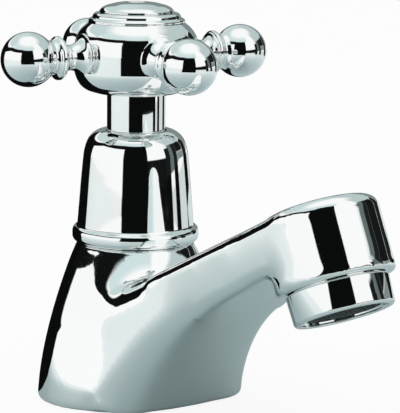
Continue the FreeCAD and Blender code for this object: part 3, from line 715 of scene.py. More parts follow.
@dataclass
class Casting:
    """The cast body: oval foot, round neck, flat-topped spout and round nose.

    The pedestal's ovals shrink from the foot to the neck, the collar leads the neck
    forwards, and the spout's sections fan round a point under its arch, so that angles
    there count in degrees from the foot. The passes and the regions named flank and
    saddle say how far and where the skin is relaxed.
    """

    outlet: Outlet
    foot_half_length: float = 23.75
    foot_half_width: float = 29.3
    foot_shift: float = 0.9
    neck_radius: float = 16.7
    neck_top: float = 44.05
    neck_hollow: float = 0.16
    hollow_start: float = 41.4
    neck_end: float = 44.3
    neck_bend: float = 1.62
    foot_spread: float = 1.055
    pedestal_steps: int = 24
    collar_steps: int = 14
    collar_drop: float = 14.0
    collar_inset: float = 0.3
    collar_growth: tuple[float, float] = (3.5, 1.55)
    collar_lead: tuple[float, float] = (4.5, 2.0)
    ring_segments: int = 128
    nose_radius: float = 15.8
    nose_length: float = 20.5
    nose_round: float = 3.6
    lip_round: float = 0.5
    spout_height: float = 20.0
    spout_depth: float = 14.2
    spout_flare: float = 2.9
    shin_flare: float = 8.4
    top_round: float = 3.2
    root_end: float = 0.55
    root_flare: float = 6.5
    root_round: float = 7.5
    root_taper: float = 3.0
    underside_round: float = 3.2
    shin_round: float = 9.5
    arch_reach: float = 70.0
    arch_drop: float = 2.0
    arch_least: float = 52.0
    arch_end: float = 78.0
    arch_nose_gain: float = 2.8
    arch_thickening: float = 1.3
    fan_start: float = 3.0
    fan_steps: int = 25
    nose_angle: float = 92.0
    heel_share: float = 0.3
    straight_shares: tuple[float, ...] = (0.6, 0.3, 0.0)
    section_segments: int = 7
    grain: float = 0.55
    light_passes: int = 9
    broad_passes: int = 80
    final_passes: int = 3
    edge_angle: float = 6.5
    edge_rings: int = 2
    flank_end: float = -1.0
    flank_height: tuple[float, float] = (1.2, 42.8)
    saddle_height: tuple[float, float] = (21.0, 43.4)
    saddle_slope: float = 0.47
    saddle_start: float = -3.0
    saddle_reach: float = 34.0
    saddle_passes: int = 120
    tail_socket: float = 10.53
    socket_top: float = 13.0
    port: float = 6.0
    port_span: tuple[float, float] = (15.0, 22.0)
    chamber: float = 10.2
    chamber_top: float = 32.4
    recess_rim: float = 2.5
    recess_span: tuple[float, float] = (-1.0, 1.6)
    aerator_socket: float = 12.05
    socket_depth: float = 8.5
    plenum: float = 9.0
    plenum_depth: float = 15.0

    def pedestal(self) -> Shape:
        """Bridges the ovals of the pedestal from the foot up to the neck.

        Returns:
            The pedestal, closed at both ends.
        """
        shape = bmesh.new()
        loops = []
        for step in range(self.pedestal_steps + 1):
            height = self.neck_top * step / self.pedestal_steps
            spread = self.foot_spread * (1 - (height / self.neck_end) ** self.neck_bend)
            waist = self.neck_radius - self.neck_hollow * max(0.0, height - self.hollow_start)
            length = waist + (self.foot_half_length - self.neck_radius) * spread
            width = waist + (self.foot_half_width - self.neck_radius) * spread
            place = Matrix.Translation((self.foot_shift * spread, 0, height))
            scale = Matrix.Diagonal((length, width, 1, 1))
            loops.append(self._ring(shape, 1.0, place @ scale))
        return self._skin(shape, loops)

    def collar(self) -> Shape:
        """Bridges the circles that lead the neck forwards into the spout's top.

        Returns:
            The collar, closed at both ends.
        """
        shape = bmesh.new()
        loops = []
        growth, lead = self.collar_growth, self.collar_lead
        for step in range(self.collar_steps + 1):
            down = step / self.collar_steps
            radius = (self.neck_radius - self.collar_inset + growth[0] * down
                      + growth[1] * down ** 2)
            place = Vector((lead[0] * down + lead[1] * down ** 2, 0,
                            self.neck_top - self.collar_drop * down))
            loops.append(self._ring(shape, radius, Matrix.Translation(place)))
        return self._skin(shape, loops)

    def _ring(self, shape: Shape, radius: float, place: Matrix) -> list[Edge]:
        """Draws a circle.

        Args:
            shape: what it is drawn in.
            radius: its radius.
            place: where it lies, and how it is stretched.

        Returns:
            The circle's edges.
        """
        before = set(shape.edges)
        bmesh.ops.create_circle(shape, segments=self.ring_segments, radius=radius, matrix=place)
        return [edge for edge in shape.edges if edge not in before]

    def spout(self) -> Shape:
        """Bridges sections that fan round the arch under the spout.

        Returns:
            The spout, closed at both ends.
        """
        shape = bmesh.new()
        loops = [self._section(shape, *place) for place in self._stations()]
        return self._skin(shape, loops)

    def _stations(self) -> list[tuple[Vector, Vector, float]]:
        """Places the sections of the spout, from the foot round the arch to the nose.

        Returns:
            For each, its top, its underside and how near it is to the nose, up to 1.
        """
        up, ahead = self.outlet.up, self.outlet.ahead
        nose_top = self.outlet.lip + up * self.spout_height
        pivot = Vector((self.arch_reach, 0.0, -self.arch_drop))
        top_distance = (nose_top - pivot).dot(up)
        slant = math.cos(math.radians(90 - self.arch_end - self.outlet.rise))
        end_radius = top_distance / slant - self.spout_depth - self.arch_thickening
        least_radius = end_radius - self.arch_nose_gain
        foot_radius = self.arch_reach - self.foot_shift - self.foot_half_length
        widest = self.arch_reach + self.heel_share * self.foot_half_length
        stations = []
        for step in range(self.fan_steps + 1):
            angle = self.fan_start + (self.arch_end - self.fan_start) * step / self.fan_steps
            turn = math.radians(angle)
            out = Vector((-math.cos(turn), 0.0, math.sin(turn)))
            side = foot_radius if angle < self.arch_least else end_radius
            span = self.arch_least if angle < self.arch_least else self.arch_end - self.arch_least
            inner = least_radius + (side - least_radius) * ((angle - self.arch_least) / span) ** 2
            outer = min(top_distance / out.dot(up), widest)
            stations.append((pivot + out * outer, pivot + out * inner, angle / self.nose_angle))
        straight = (nose_top - stations[-1][0]).dot(ahead)
        for share in self.straight_shares:
            top = nose_top - ahead * (straight * share)
            stations.append((top, top - up * self.spout_depth, 1.0))
        return stations

    def _section(self, shape: Shape, top: Vector, underside: Vector, share: float) -> list[Edge]:
        """Draws one rounded section of the spout.

        Args:
            shape: what it is drawn in.
            top: the middle of its upper side.
            underside: the middle of its lower side.
            share: how near it is to the nose, up to 1.

        Returns:
            The section's edges.
        """
        towards_foot = 1 - share
        root = max(0.0, 1 - share / self.root_end)
        above = self.nose_radius + self.spout_flare * towards_foot + self.root_flare * root
        below = (self.nose_radius + self.shin_flare * towards_foot ** 2
                 + self.root_flare * root * towards_foot / self.root_taper)
        edge = self.top_round + self.root_round * root
        soft = self.underside_round + self.shin_round * towards_foot ** 2
        depth = (top - underside).length
        corners = [(above, depth, edge), (below, 0.0, soft),
                   (-below, 0.0, soft), (-above, depth, edge)]
        before = set(shape.verts)
        edges = outline(shape, corners, True, self.section_segments)
        points = [point for point in shape.verts if point not in before]
        up = (top - underside).normalized()
        across = Vector((0.0, 1.0, 0.0))
        axes = Matrix((across, across.cross(up), up)).transposed().to_4x4()
        bmesh.ops.transform(shape, verts=points, matrix=Matrix.Translation(underside) @ axes)
        return edges

    @staticmethod
    def _skin(shape: Shape, loops: list[list[Edge]]) -> Shape:
        """Bridges neighbouring loops and closes both ends.

        Args:
            shape: what the loops are drawn in.
            loops: the edges of each loop, in order.

        Returns:
            The same shape, closed.
        """
        for first, second in zip(loops, loops[1:]):
            bmesh.ops.bridge_loops(shape, edges=first + second)
        for end in (loops[0], loops[-1]):
            bmesh.ops.contextual_create(shape, geom=end)
        return outwards(shape)

    def nose(self) -> Shape:
        """Turns the round nose.

        Returns:
            The nose in place.
        """
        return self.outlet.stand(turned([
            (0.0, 0.0, 0.0), (self.nose_radius, 0.0, self.lip_round),
            (self.nose_radius, self.nose_length, self.nose_round), (0.0, self.nose_length, 0.0),
        ], segments=10))

    def waterway(self) -> Shape:
        """Turns what is bored out about the tail's axis: socket, port and chamber.

        Returns:
            The cutter.
        """
        foot, top = -1.0, 60.0
        port_foot, port_top = self.port_span
        return turned([
            (0.0, foot, 0.0), (self.tail_socket, foot, 0.0),
            (self.tail_socket, self.socket_top, 0.0), (self.port, port_foot, 0.0),
            (self.port, port_top, 0.0), (self.chamber, port_top, 0.0),
            (self.chamber, self.chamber_top, 0.0), (self.tail_socket, self.chamber_top, 0.0),
            (self.tail_socket, top, 0.0), (0.0, top, 0.0),
        ])

    def gasket_recess(self) -> Shape:
        """Cuts the recess under the foot that the gasket fills.

        Returns:
            The cutter.
        """
        return self.foot_plate(self.recess_rim, *self.recess_span)

    def foot_plate(self, rim: float, foot: float, top: float) -> Shape:
        """Makes an oval plate that follows the foot.

        Args:
            rim: how far it stays inside the foot's edge.
            foot: the height of its lower side.
            top: the height of its upper side.

        Returns:
            The plate.
        """
        shape = bmesh.new()
        bmesh.ops.create_cone(
            shape, cap_ends=True, segments=self.ring_segments, radius1=1.0, radius2=1.0,
            depth=top - foot,
            matrix=Matrix.Translation((self.foot_shift, 0, (foot + top) / 2)) @ Matrix.Diagonal(
                (self.foot_half_length - rim, self.foot_half_width - rim, 1, 1)))
        return shape

    def outlet_bore(self) -> Shape:
        """Turns what is bored out of the nose for the aerator.

        Returns:
            The cutter in place.
        """
        foot = -1.0
        return self.outlet.stand(turned([
            (0.0, foot, 0.0), (self.aerator_socket, foot, 0.0),
            (self.aerator_socket, self.socket_depth, 0.0), (self.plenum, self.socket_depth, 0.0),
            (self.plenum, self.plenum_depth, 0.0), (0.0, self.plenum_depth, 0.0),
        ]))

    def build(self) -> Shape:
        """Fuses the forms into one skin, softens it and bores it.

        Returns:
            The finished casting.
        """
        fused = through_modifiers(
            join(self.pedestal(), self.collar(), self.spout(), self.nose()),
            remesh={"mode": "VOXEL", "voxel_size": self.grain, "adaptivity": 0.0})
        self._soften(fused)
        for cutter in (self.waterway(), self.gasket_recess(), self.outlet_bore()):
            fused = cut_by(fused, cutter)
        return shade(outwards(fused))

    def _soften(self, shape: Shape) -> None:
        """Relaxes the skin, least where it turns round an outer edge.

        Args:
            shape: the skin.
        """
        self._relax(shape, shape.verts[:], self.light_passes)
        edges = {point for edge in shape.edges
                 if edge.calc_face_angle_signed(0.0) > math.radians(self.edge_angle)
                 for point in edge.verts}
        for _ in range(self.edge_rings):
            edges |= {edge.other_vert(point) for point in edges for edge in point.link_edges}
        broad = [point for point in shape.verts
                 if point not in edges or self._on_flank(point.co)]
        self._relax(shape, broad, self.broad_passes)
        saddle = [point for point in shape.verts if self._in_saddle(point.co)]
        self._relax(shape, saddle, self.saddle_passes)
        self._relax(shape, shape.verts[:], self.final_passes)

    def _on_flank(self, place: Vector) -> bool:
        """Whether a point lies on the pedestal behind the spout, where nothing is sharp."""
        low, high = self.flank_height
        return place.x < self.flank_end and low < place.z < high

    def _in_saddle(self, place: Vector) -> bool:
        """Whether a point lies where the spout's top runs up to the neck.

        Args:
            place: the point.

        Returns:
            True where it does.
        """
        low, high = self.saddle_height
        return (low + self.saddle_slope * place.x < place.z < high and place.x > self.saddle_start
                and math.hypot(place.x, place.y) < self.saddle_reach)

    @staticmethod
    def _relax(shape: Shape, points: list[Point], passes: int) -> None:
        """Moves points towards their neighbours' middle, again and again.

        Args:
            shape: the skin.
            points: the points that move.
            passes: how often they do.
        """
        for _ in range(passes):
            bmesh.ops.smooth_vert(shape, verts=points, factor=0.5, use_axis_x=True,
                                  use_axis_y=True, use_axis_z=True)


# ---------------------------------------------------------------- bell and handle

@dataclass
class Bell:
    """The bell over the valve, with the bead round its foot."""

    foot: float = 44.05
    bead: float = 18.0
    bead_height: float = 4.45
    skirt: float = 16.6
    shoulder: float = 14.6
    top: float = 76.0
    mouth: float = 8.6
    wall: float = 1.5

    def build(self) -> Shape:
        """Turns the bell as one closed wall.

        Returns:
            The bell.
        """
        bead_top = self.foot + self.bead_height
        return shade(turned([
            (self.skirt - self.wall, self.foot, 0.0), (self.skirt - 0.1, self.foot, 0.0),
            (self.bead, self.foot + 0.1, 1.4), (self.bead, bead_top - 0.4, 1.4),
            (self.skirt + 0.35, bead_top - 0.15, 0.15), (self.skirt, bead_top + 0.35, 0.2),
            (16.0, 56.0, 2.0), (15.45, 63.0, 2.0), (self.shoulder, 71.4, 2.6),
            (12.4, 75.2, 2.2), (self.mouth + 0.9, self.top, 0.6),
            (self.mouth, self.top - 0.3, 0.3), (self.mouth, self.top - 1.9, 0.0),
            (11.2, self.top - 2.4, 1.2), (self.shoulder - self.wall, 70.4, 1.6),
            (self.skirt - self.wall, bead_top, 0.0),
        ], closed=True, steps=160, segments=7))


@dataclass
class Sleeve:
    """The round sleeve between the bell and the hub."""

    bore: float = 7.2
    radius: float = 8.25
    foot: float = 62.0
    top: float = 90.4
    edge: float = 0.2

    def build(self) -> Shape:
        """Turns the sleeve.

        Returns:
            The sleeve.
        """
        return shade(turned([
            (self.bore, self.foot, self.edge), (self.radius, self.foot, self.edge),
            (self.radius, self.top, self.edge), (self.bore, self.top, self.edge),
        ], closed=True))


@dataclass
class Hub:
    """The barrel-shaped hub with its stepped crown."""

    foot: float = 86.4
    top: float = 109.0
    radius: float = 17.6
    bore: float = 8.3
    recess: float = 9.5

    def build(self) -> Shape:
        """Turns the hub with its bore and the recess for the cap.

        Returns:
            The hub.
        """
        return shade(turned([
            (self.bore, self.foot + 4.0, 0.0), (self.bore, self.foot, 0.2),
            (11.2, self.foot, 0.5), (15.0, 87.5, 1.5), (17.35, 90.6, 2.2),
            (self.radius, 94.0, 1.5), (self.radius, 99.0, 2.2), (17.1, 102.2, 1.2),
            (15.6, 104.6, 1.0), (13.5, 106.3, 0.35), (13.65, 106.9, 0.25),
            (13.25, 107.4, 0.2), (12.5, 107.6, 0.12), (12.3, 108.5, 0.35),
            (11.6, self.top, 0.3), (self.recess, self.top, 0.15),
            (self.recess, 103.6, 0.0), (2.6, 103.6, 0.0), (2.6, 98.0, 0.0),
            (6.45, 98.0, 0.0), (6.45, self.foot + 4.0, 0.0),
        ], closed=True, steps=160, segments=6))


@dataclass
class Arm:
    """A turned arm: trumpet root, beaded collar and ball.

    The front one points first_turn degrees round from the spout.
    """

    seat: float = 15.9
    root: float = 6.6
    waist: float = 3.4
    collar: float = 6.1
    ball: float = 7.65
    ball_place: float = 33.0
    height: float = 97.0
    first_turn: float = -9.0

    def build(self, quarter: int) -> Shape:
        """Turns an arm and points it outwards.

        Args:
            quarter: how many quarter turns it stands on from the front one.

        Returns:
            The arm in place.
        """
        reach = self.ball_place
        stem = turned([
            (0.0, self.seat - 1.2, 0.0), (self.root, self.seat - 1.2, 0.0),
            (self.root, self.seat + 0.7, 0.3), (5.2, 17.3, 0.6), (3.9, 18.9, 0.9),
            (self.waist, 20.4, 0.8), (3.75, 21.9, 0.6), (4.7, 22.8, 0.35),
            (5.5, 23.05, 0.15), (5.55, 23.45, 0.1), (self.collar, 23.7, 0.25),
            (self.collar, 24.7, 0.3), (5.2, 25.4, 0.4), (4.85, 26.2, 0.4),
            (5.25, 27.3, 0.5), (5.6, 28.2, 0.2), (4.0, 29.4, 0.0), (0.0, 29.4, 0.0),
        ], steps=80, segments=4)
        ball = bmesh.new()
        bmesh.ops.create_uvsphere(ball, u_segments=80, v_segments=48, radius=self.ball,
                                  matrix=Matrix.Translation((0, 0, reach)))
        shape = join(stem, ball)
        turn = math.radians(self.first_turn + 90 * quarter)
        lay = Matrix.Rotation(turn, 4, "Z") @ Matrix.Rotation(math.pi / 2, 4, "Y")
        bmesh.ops.transform(shape, verts=shape.verts,
                            matrix=Matrix.Translation((0, 0, self.height)) @ lay)
        return shade(shape)


@dataclass
class Cap:
    """The index cap with its plain disc."""

    foot: float = 109.0
    rim: float = 10.5

    def build(self) -> Shape:
        """Turns the cap.

        Returns:
            The cap.
        """
        return shade(turned([
            (9.35, 105.0, 0.1), (9.35, self.foot, 0.0), (self.rim - 0.1, self.foot, 0.1),
            (self.rim, self.foot + 0.45, 0.2), (self.rim - 0.25, self.foot + 0.85, 0.15),
            (9.9, self.foot + 1.3, 0.3), (8.7, self.foot + 1.95, 0.5),
            (5.6, self.foot + 2.75, 0.9), (2.9, self.foot + 3.0, 0.2),
            (2.45, self.foot + 2.85, 0.1), (2.45, self.foot + 2.2, 0.0),
            (0.0, self.foot + 2.2, 0.0), (0.0, self.foot + 1.0, 0.0),
            (7.1, self.foot + 1.0, 0.0), (7.1, 105.0, 0.1),
        ], steps=128, segments=5))

    def disc(self) -> Shape:
        """Turns the plain disc in the cap's middle.

        Returns:
            The disc.
        """
        return shade(turned([
            (0.0, self.foot + 2.2, 0.0), (2.4, self.foot + 2.2, 0.0),
            (2.4, self.foot + 3.0, 0.2), (1.2, self.foot + 3.2, 0.5), (0.0, self.foot + 3.2, 0.0),
        ], steps=64))


# ---------------------------------------------------------------- aerator

@dataclass
class Aerator:
    """The ring under the nose with its woven mesh."""

    outlet: Outlet
    top: float = 13.5
    foot: float = 13.2
    drop: float = 8.3
    mouth: float = 11.4
    thread: float = 12.0
    seat: float = 10.45
    mesh_rise: float = 1.5
    mesh_radius: float = 10.4
    wire: float = 0.15
    pitch: float = 0.8

    def housing(self) -> Shape:
        """Turns the housing.

        Returns:
            The housing in place.
        """
        floor = -self.drop + self.mesh_rise
        return shade(self.outlet.stand(turned([
            (self.mouth, -self.drop + 0.1, 0.2), (self.mouth + 0.5, -self.drop, 0.2),
            (self.foot, -self.drop, 0.9), (self.top, -0.6, 0.2), (self.top - 0.4, -0.2, 0.1),
            (self.thread, -0.2, 0.0), (self.thread, 7.0, 0.4), (self.seat, 7.0, 0.0),
            (self.seat, floor, 0.0), (self.seat - 0.6, floor, 0.0),
            (self.seat - 0.6, floor - 0.6, 0.0), (self.mouth, floor - 0.6, 0.0),
        ], closed=True, steps=160, segments=6)))

    def mesh(self) -> Shape:
        """Weaves the mesh out of wires that pass over and under each other.

        Returns:
            The mesh in its rim, in place.
        """
        shape = bmesh.new()
        count = int((self.mesh_radius - 0.5) / self.pitch)
        for line in range(-count, count + 1):
            for crosswise in (False, True):
                self._wire(shape, line, crosswise, count)
        rim = turned([
            (9.75, -0.3, 0.1), (self.mesh_radius, -0.3, 0.1), (self.mesh_radius, 0.3, 0.1),
            (9.75, 0.3, 0.1),
        ], closed=True, steps=96, segments=3)
        whole = join(shape, rim)
        bmesh.ops.translate(whole, vec=(0, 0, -self.drop + self.mesh_rise + 0.3),
                            verts=whole.verts)
        return shade(self.outlet.stand(whole))

    def _wire(self, shape: Shape, line: int, crosswise: bool, count: int) -> None:
        """Draws one wire as a ring pushed along its wave.

        Args:
            shape: what it is drawn in.
            line: its number, counted from the middle one.
            crosswise: whether it runs across the others.
            count: the number of the outermost wire.
        """
        reach = math.sqrt(max((self.mesh_radius - 0.4) ** 2 - (line * self.pitch) ** 2, 0.25))
        places = [place * self.pitch / 2 for place in range(-2 * count - 1, 2 * count + 2)
                  if abs(place * self.pitch / 2) < reach]
        places = [-reach, *places, reach]
        sign = 1 if (line + crosswise) % 2 else -1
        before = set(shape.verts)
        ring = bmesh.ops.create_circle(
            shape, segments=5, radius=self.wire,
            matrix=Matrix.Translation((places[0], line * self.pitch, 0))
            @ Matrix.Rotation(math.pi / 2, 4, "Y"))["verts"]
        edges = list({edge for point in ring for edge in point.link_edges})
        height = 0.0
        for start, stop in zip(places, places[1:]):
            wave = sign * self.wire * math.cos(math.pi * stop / self.pitch)
            pushed = bmesh.ops.extrude_edge_only(shape, edges=edges)["geom"]
            moved = [item for item in pushed if isinstance(item, Point)]
            edges = [item for item in pushed if isinstance(item, Edge)]
            bmesh.ops.translate(shape, vec=(stop - start, 0, wave - height), verts=moved)
            height = wave
        points = [point for point in shape.verts if point not in before]
        bmesh.ops.holes_fill(shape, edges=list({e for p in points for e in p.link_edges
                                                if e.is_boundary}))
        if crosswise:
            bmesh.ops.rotate(shape, verts=points, cent=(0, 0, 0),
                             matrix=Matrix.Rotation(math.pi / 2, 3, "Z"))


# ---------------------------------------------------------------- under the deck

@dataclass
class Fixings:
    """The threaded tail and what clamps the tap to its deck."""

    crest: float = 10.48
    root: float = 9.35
    bore: float = 7.0
    drop: float = 48.0
    pitch: float = 1.814
    flank_share: float = 0.46
    crest_share: float = 0.06
    sunk_share: float = 0.15
    steps_per_turn: int = 48
    washer: float = 19.0
    washer_hole: float = 10.68
    rubber_top: float = -18.0
    rubber_foot: float = -20.0
    nut_flats: float = 30.0
    nut_top: float = -21.5
    nut_foot: float = -28.5
    nut_chamfer: float = 14.8
    nut_bore: float = 10.55
    nut_mouth: float = 11.3
    gasket_rim: float = 2.55
    gasket_thickness: float = 1.6
    gasket_hole: float = 10.78

    def thread(self, foot: float, top: float, crest: float, root: float) -> Shape:
        """Winds a pipe thread: one pitch of its profile, pushed up as it is spun.

        Args:
            foot: where the thread starts.
            top: where it ends.
            crest: radius over its crests.
            root: radius in its roots.

        Returns:
            The ridge, closed at both ends.
        """
        shape = bmesh.new()
        half = self.pitch * self.flank_share
        inside = root - (crest - root) * self.sunk_share
        edges = outline(shape, [
            (inside, -half, 0.0), (crest, -self.pitch * self.crest_share, 0.1),
            (crest, self.pitch * self.crest_share, 0.1), (inside, half, 0.0),
        ], True, 2)
        start = bmesh.ops.contextual_create(shape, geom=edges)["faces"]
        turns = max(1.0, (top - foot) / self.pitch - 1.0)
        steps = int(turns * self.steps_per_turn)
        bmesh.ops.translate(shape, vec=(0, 0, foot + self.pitch * 0.5), verts=shape.verts)
        bmesh.ops.spin(shape, geom=start, cent=(0, 0, 0), axis=(0, 0, 1),
                       dvec=(0, 0, self.pitch * turns / steps), angle=math.tau * turns,
                       steps=steps, use_merge=False, use_duplicate=False)
        return outwards(shape)

    def tail(self) -> Shape:
        """Turns the tail and winds its two stretches of thread.

        Returns:
            The tail.
        """
        groove = self.root - 0.1
        core = turned([
            (self.bore, -self.drop, 0.3), (self.crest - 1.0, -self.drop, 0.3),
            (self.root + 0.05, -self.drop + 1.0, 0.0), (self.root + 0.05, -31.5, 0.0),
            (groove, -31.4, 0.0), (groove, -30.1, 0.0), (self.root + 0.05, -30.0, 0.0),
            (self.root + 0.05, -0.4, 0.0), (9.5, 0.6, 0.0), (9.5, 12.8, 0.3),
            (self.bore, 12.8, 0.3),
        ], closed=True, steps=96)
        lower = self.thread(-self.drop + 0.4, -31.3, self.crest, self.root)
        upper = self.thread(-30.2, -0.3, self.crest, self.root)
        return shade(join(core, lower, upper), 50.0)

    def nut(self) -> Shape:
        """Makes the back nut: a hexagon with turned-off corners and a bored thread.

        Returns:
            The nut.
        """
        foot, top = self.nut_foot, self.nut_top
        edge, mouth = self.nut_chamfer, self.nut_mouth
        corner = self.nut_flats / math.sqrt(3)
        blank = bmesh.new()
        bmesh.ops.create_cone(blank, cap_ends=True, segments=6, radius1=corner,
                              radius2=corner, depth=top - foot,
                              matrix=Matrix.Translation((0, 0, (foot + top) / 2)))
        bmesh.ops.bevel(blank, geom=blank.edges[:], offset=0.25, offset_type="OFFSET",
                        segments=2, profile=0.5, affect="EDGES", material=-1)
        waste = turned([
            (edge, foot - 0.5, 0.0), (corner + 2, foot - 0.5, 0.0), (corner + 2, top + 0.5, 0.0),
            (edge, top + 0.5, 0.0), (edge, top, 0.0), (corner + 0.1, top - 1.5, 0.0),
            (corner + 0.1, foot + 1.5, 0.0), (edge, foot, 0.0),
        ], closed=True)
        bore = turned([
            (0.0, foot - 1, 0.0), (mouth, foot - 1, 0.0), (mouth, foot + 0.05, 0.0),
            (self.nut_bore, foot + 0.8, 0.0), (self.nut_bore, top - 0.8, 0.0),
            (mouth, top - 0.05, 0.0), (mouth, top + 1, 0.0), (0.0, top + 1, 0.0),
        ])
        return shade(outwards(cut_by(cut_by(blank, waste), bore)))

    def washers(self) -> tuple[Shape, Shape]:
        """Turns the rubber washer and the brass washer under it.

        Returns:
            The rubber washer and the brass one.
        """
        hole, edge = self.washer_hole, self.washer
        rubber = turned([
            (hole, self.rubber_foot, 0.2), (edge, self.rubber_foot, 0.5),
            (edge, self.rubber_top, 0.5), (hole, self.rubber_top, 0.2),
        ], closed=True)
        brass = turned([
            (hole, self.nut_top, 0.15), (edge - 0.5, self.nut_top, 0.25),
            (edge - 0.5, self.rubber_foot, 0.35), (hole, self.rubber_foot, 0.15),
        ], closed=True)
        return shade(rubber), shade(brass)

    def gasket(self, casting: Casting) -> Shape:
        """Cuts the foam gasket: an oval plate with the tail's hole.

        Args:
            casting: the casting, whose recess it fills.

        Returns:
            The gasket.
        """
        below, above = -1.0, 3.0
        plate = casting.foot_plate(self.gasket_rim, 0.0, self.gasket_thickness)
        hole = turned([(0.0, below, 0.0), (self.gasket_hole, below, 0.0),
                       (self.gasket_hole, above, 0.0), (0.0, above, 0.0)])
        return shade(outwards(cut_by(plate, hole)))


# ---------------------------------------------------------------- the tap

class Tap:
    """The whole tap, built piece by piece."""

    def __init__(self, workshop: Workshop) -> None:
        """Keeps the workshop and the sizes of each sub-assembly.

        Args:
            workshop: what finishes the pieces.
        """
        self.workshop = workshop
        self.outlet = Outlet()
        self.casting = Casting(self.outlet)
        self.aerator = Aerator(self.outlet)
        self.fixings = Fixings()

    def build(self) -> None:
        """Builds every piece in order."""
        self._body()
        self._handle()
        self._outlet()
        self._fixings()
        self._inside()

    def _body(self) -> None:
        """Casting and bell."""
        self.workshop.piece("cast_body", self.casting.build(), Surface.CHROME, "tap", "tap_body")
        self.workshop.piece("bell", Bell().build(), Surface.CHROME, "tap", "bell_cover")

    def _handle(self) -> None:
        """Sleeve, hub, arms, cap and disc."""
        self.workshop.piece("sleeve", Sleeve().build(), Surface.CHROME, "handle",
                            "handle_sleeve")
        self.workshop.piece("hub", Hub().build(), Surface.CHROME, "handle", "handle_hub")
        for quarter, side in enumerate(("front", "right", "back", "left")):
            self.workshop.piece(f"arm_{side}", Arm().build(quarter), Surface.CHROME, "handle",
                                f"handle_arm_{side}")
        self.workshop.piece("cap", Cap().build(), Surface.CHROME, "handle", "index_cap")
        self.workshop.piece("disc", Cap().disc(), Surface.BADGE, "handle", "index_disc")

    def _outlet(self) -> None:
        """Aerator housing and mesh."""
        self.workshop.piece("aerator_ring", self.aerator.housing(), Surface.CHROME, "tap",
                            "aerator_housing")
        self.workshop.piece("woven_mesh", self.aerator.mesh(), Surface.STEEL, "tap",
                            "aerator_mesh")

    def _fixings(self) -> None:
        """Tail, nut, washers and gasket."""
        rubber, brass = self.fixings.washers()
        self.workshop.piece("tail", self.fixings.tail(), Surface.BRASS, "tap", "inlet_tail")
        self.workshop.piece("nut", self.fixings.nut(), Surface.BRASS, "tap", "back_nut")
        self.workshop.piece("soft_washer", rubber, Surface.RUBBER, "tap", "rubber_washer")
        self.workshop.piece("hard_washer", brass, Surface.BRASS, "tap", "fixing_washer")
        self.workshop.piece("foot_gasket", self.fixings.gasket(self.casting), Surface.FOAM,
                            "tap", "base_gasket")

    def _inside(self) -> None:
        """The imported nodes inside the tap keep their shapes."""
        keep = self.workshop.keep
        keep(Surface.BRASS, "headwork_body", "gland_nut", "bell_carrier", "valve_plate",
             "valve_nut", "spindle", "spline_bush")
        keep(Surface.RUBBER, "seat_washer", "spindle_seals", "cap_seal", "aerator_seal")
        keep(Surface.FIBRE, "headwork_washer")
        keep(Surface.PACKING, "gland_packing")
        keep(Surface.STEEL, "handle_screw")
        keep(Surface.PLASTIC, "aerator_cartridge")


# ---------------------------------------------------------------- studio

@dataclass(frozen=True)
class Glow(Look):
    """An even shade that no lamp changes; the mesh's attribute "cover" may fade it."""

    shade: float
    faded: bool = False
    red_share: float = 0.84

    def surface(self, graph: Graph) -> Signal:
        """Adds the glow and, where it is faded, its cover.

        Args:
            graph: the material's nodes.

        Returns:
            The shader.
        """
        glow = graph.node("ShaderNodeEmission", inputs={
            "Color": (self.shade * self.red_share, self.shade, self.shade, 1.0),
            "Strength": 1.0})
        if not self.faded:
            return glow
        cover = graph.node("ShaderNodeAttribute", {"attribute_name": "cover"}, output="Fac")
        clear = graph.node("ShaderNodeBsdfTransparent")
        return graph.node("ShaderNodeMixShader", inputs={0: cover, 1: clear, 2: glow})


@dataclass(frozen=True)
class ShadeAndGlarePaint(Finish):
    """Card paint that changes smoothly with the distance from the tap, and then to white: the grey
    near the tap is painted shade, the paler colour and white farther out are painted glancing
    reflection.
    """

    outer: Colour
    white: Colour = (0.97, 1.0, 1.0)
    outer_reach: tuple[float, float] = (0.07, 0.36)
    white_reach: tuple[float, float] = (0.5, 2.8)
    index: float = 1.7

    def dress(self, graph: Graph) -> dict:
        """Adds the finish's nodes.

        Args:
            graph: the material's nodes.

        Returns:
            The inputs of the surface shader that this finish sets.
        """
        away = graph.node("ShaderNodeVectorMath", {"operation": "LENGTH"},
                          {0: graph.place()}, output="Value")
        # grey near the tap for painted shade, paler and then white farther out for the table's
        # painted glancing reflection
        near = graph.mixed(away.between(*self.outer_reach), self.colour, self.outer)
        return {
            "Base Color": graph.mixed(away.between(*self.white_reach), near, self.white),
            "Roughness": self.roughness,
            "IOR": self.index,
        }


@dataclass(frozen=True)
class Ground(Look):
    """Pale ground, mostly white to the rays that see the background."""

    colour: Colour
    glow: float = 0.9
    darkest: float = 0.985
    patches: float = 9.0

    def surface(self, graph: Graph) -> Signal:
        """Adds the paint and its glow.

        Args:
            graph: the material's nodes.

        Returns:
            The shader.
        """
        darker = tuple(channel * self.darkest for channel in self.colour)
        paint = graph.node("ShaderNodeBsdfDiffuse", inputs={
            "Color": graph.mixed(graph.noise(self.patches), darker, self.colour)})
        white = graph.node("ShaderNodeEmission",
                           inputs={"Color": (1.0, 1.0, 1.0, 1.0), "Strength": 1.0})
        return graph.node("ShaderNodeMixShader",
                          inputs={0: graph.seen() * self.glow, 1: paint, 2: white})


def stage_card(name: str, shape: Shape, material: bpy.types.Material) -> None:
    """Hangs a shape in the studio that only reflections show.

    Args:
        name: the object's name.
        shape: its shape in metres; it is freed.
        material: its surface.
    """
    card = add_object(name, shape, material)
    card.visible_camera = False
    card.visible_diffuse = False
    card.visible_shadow = False


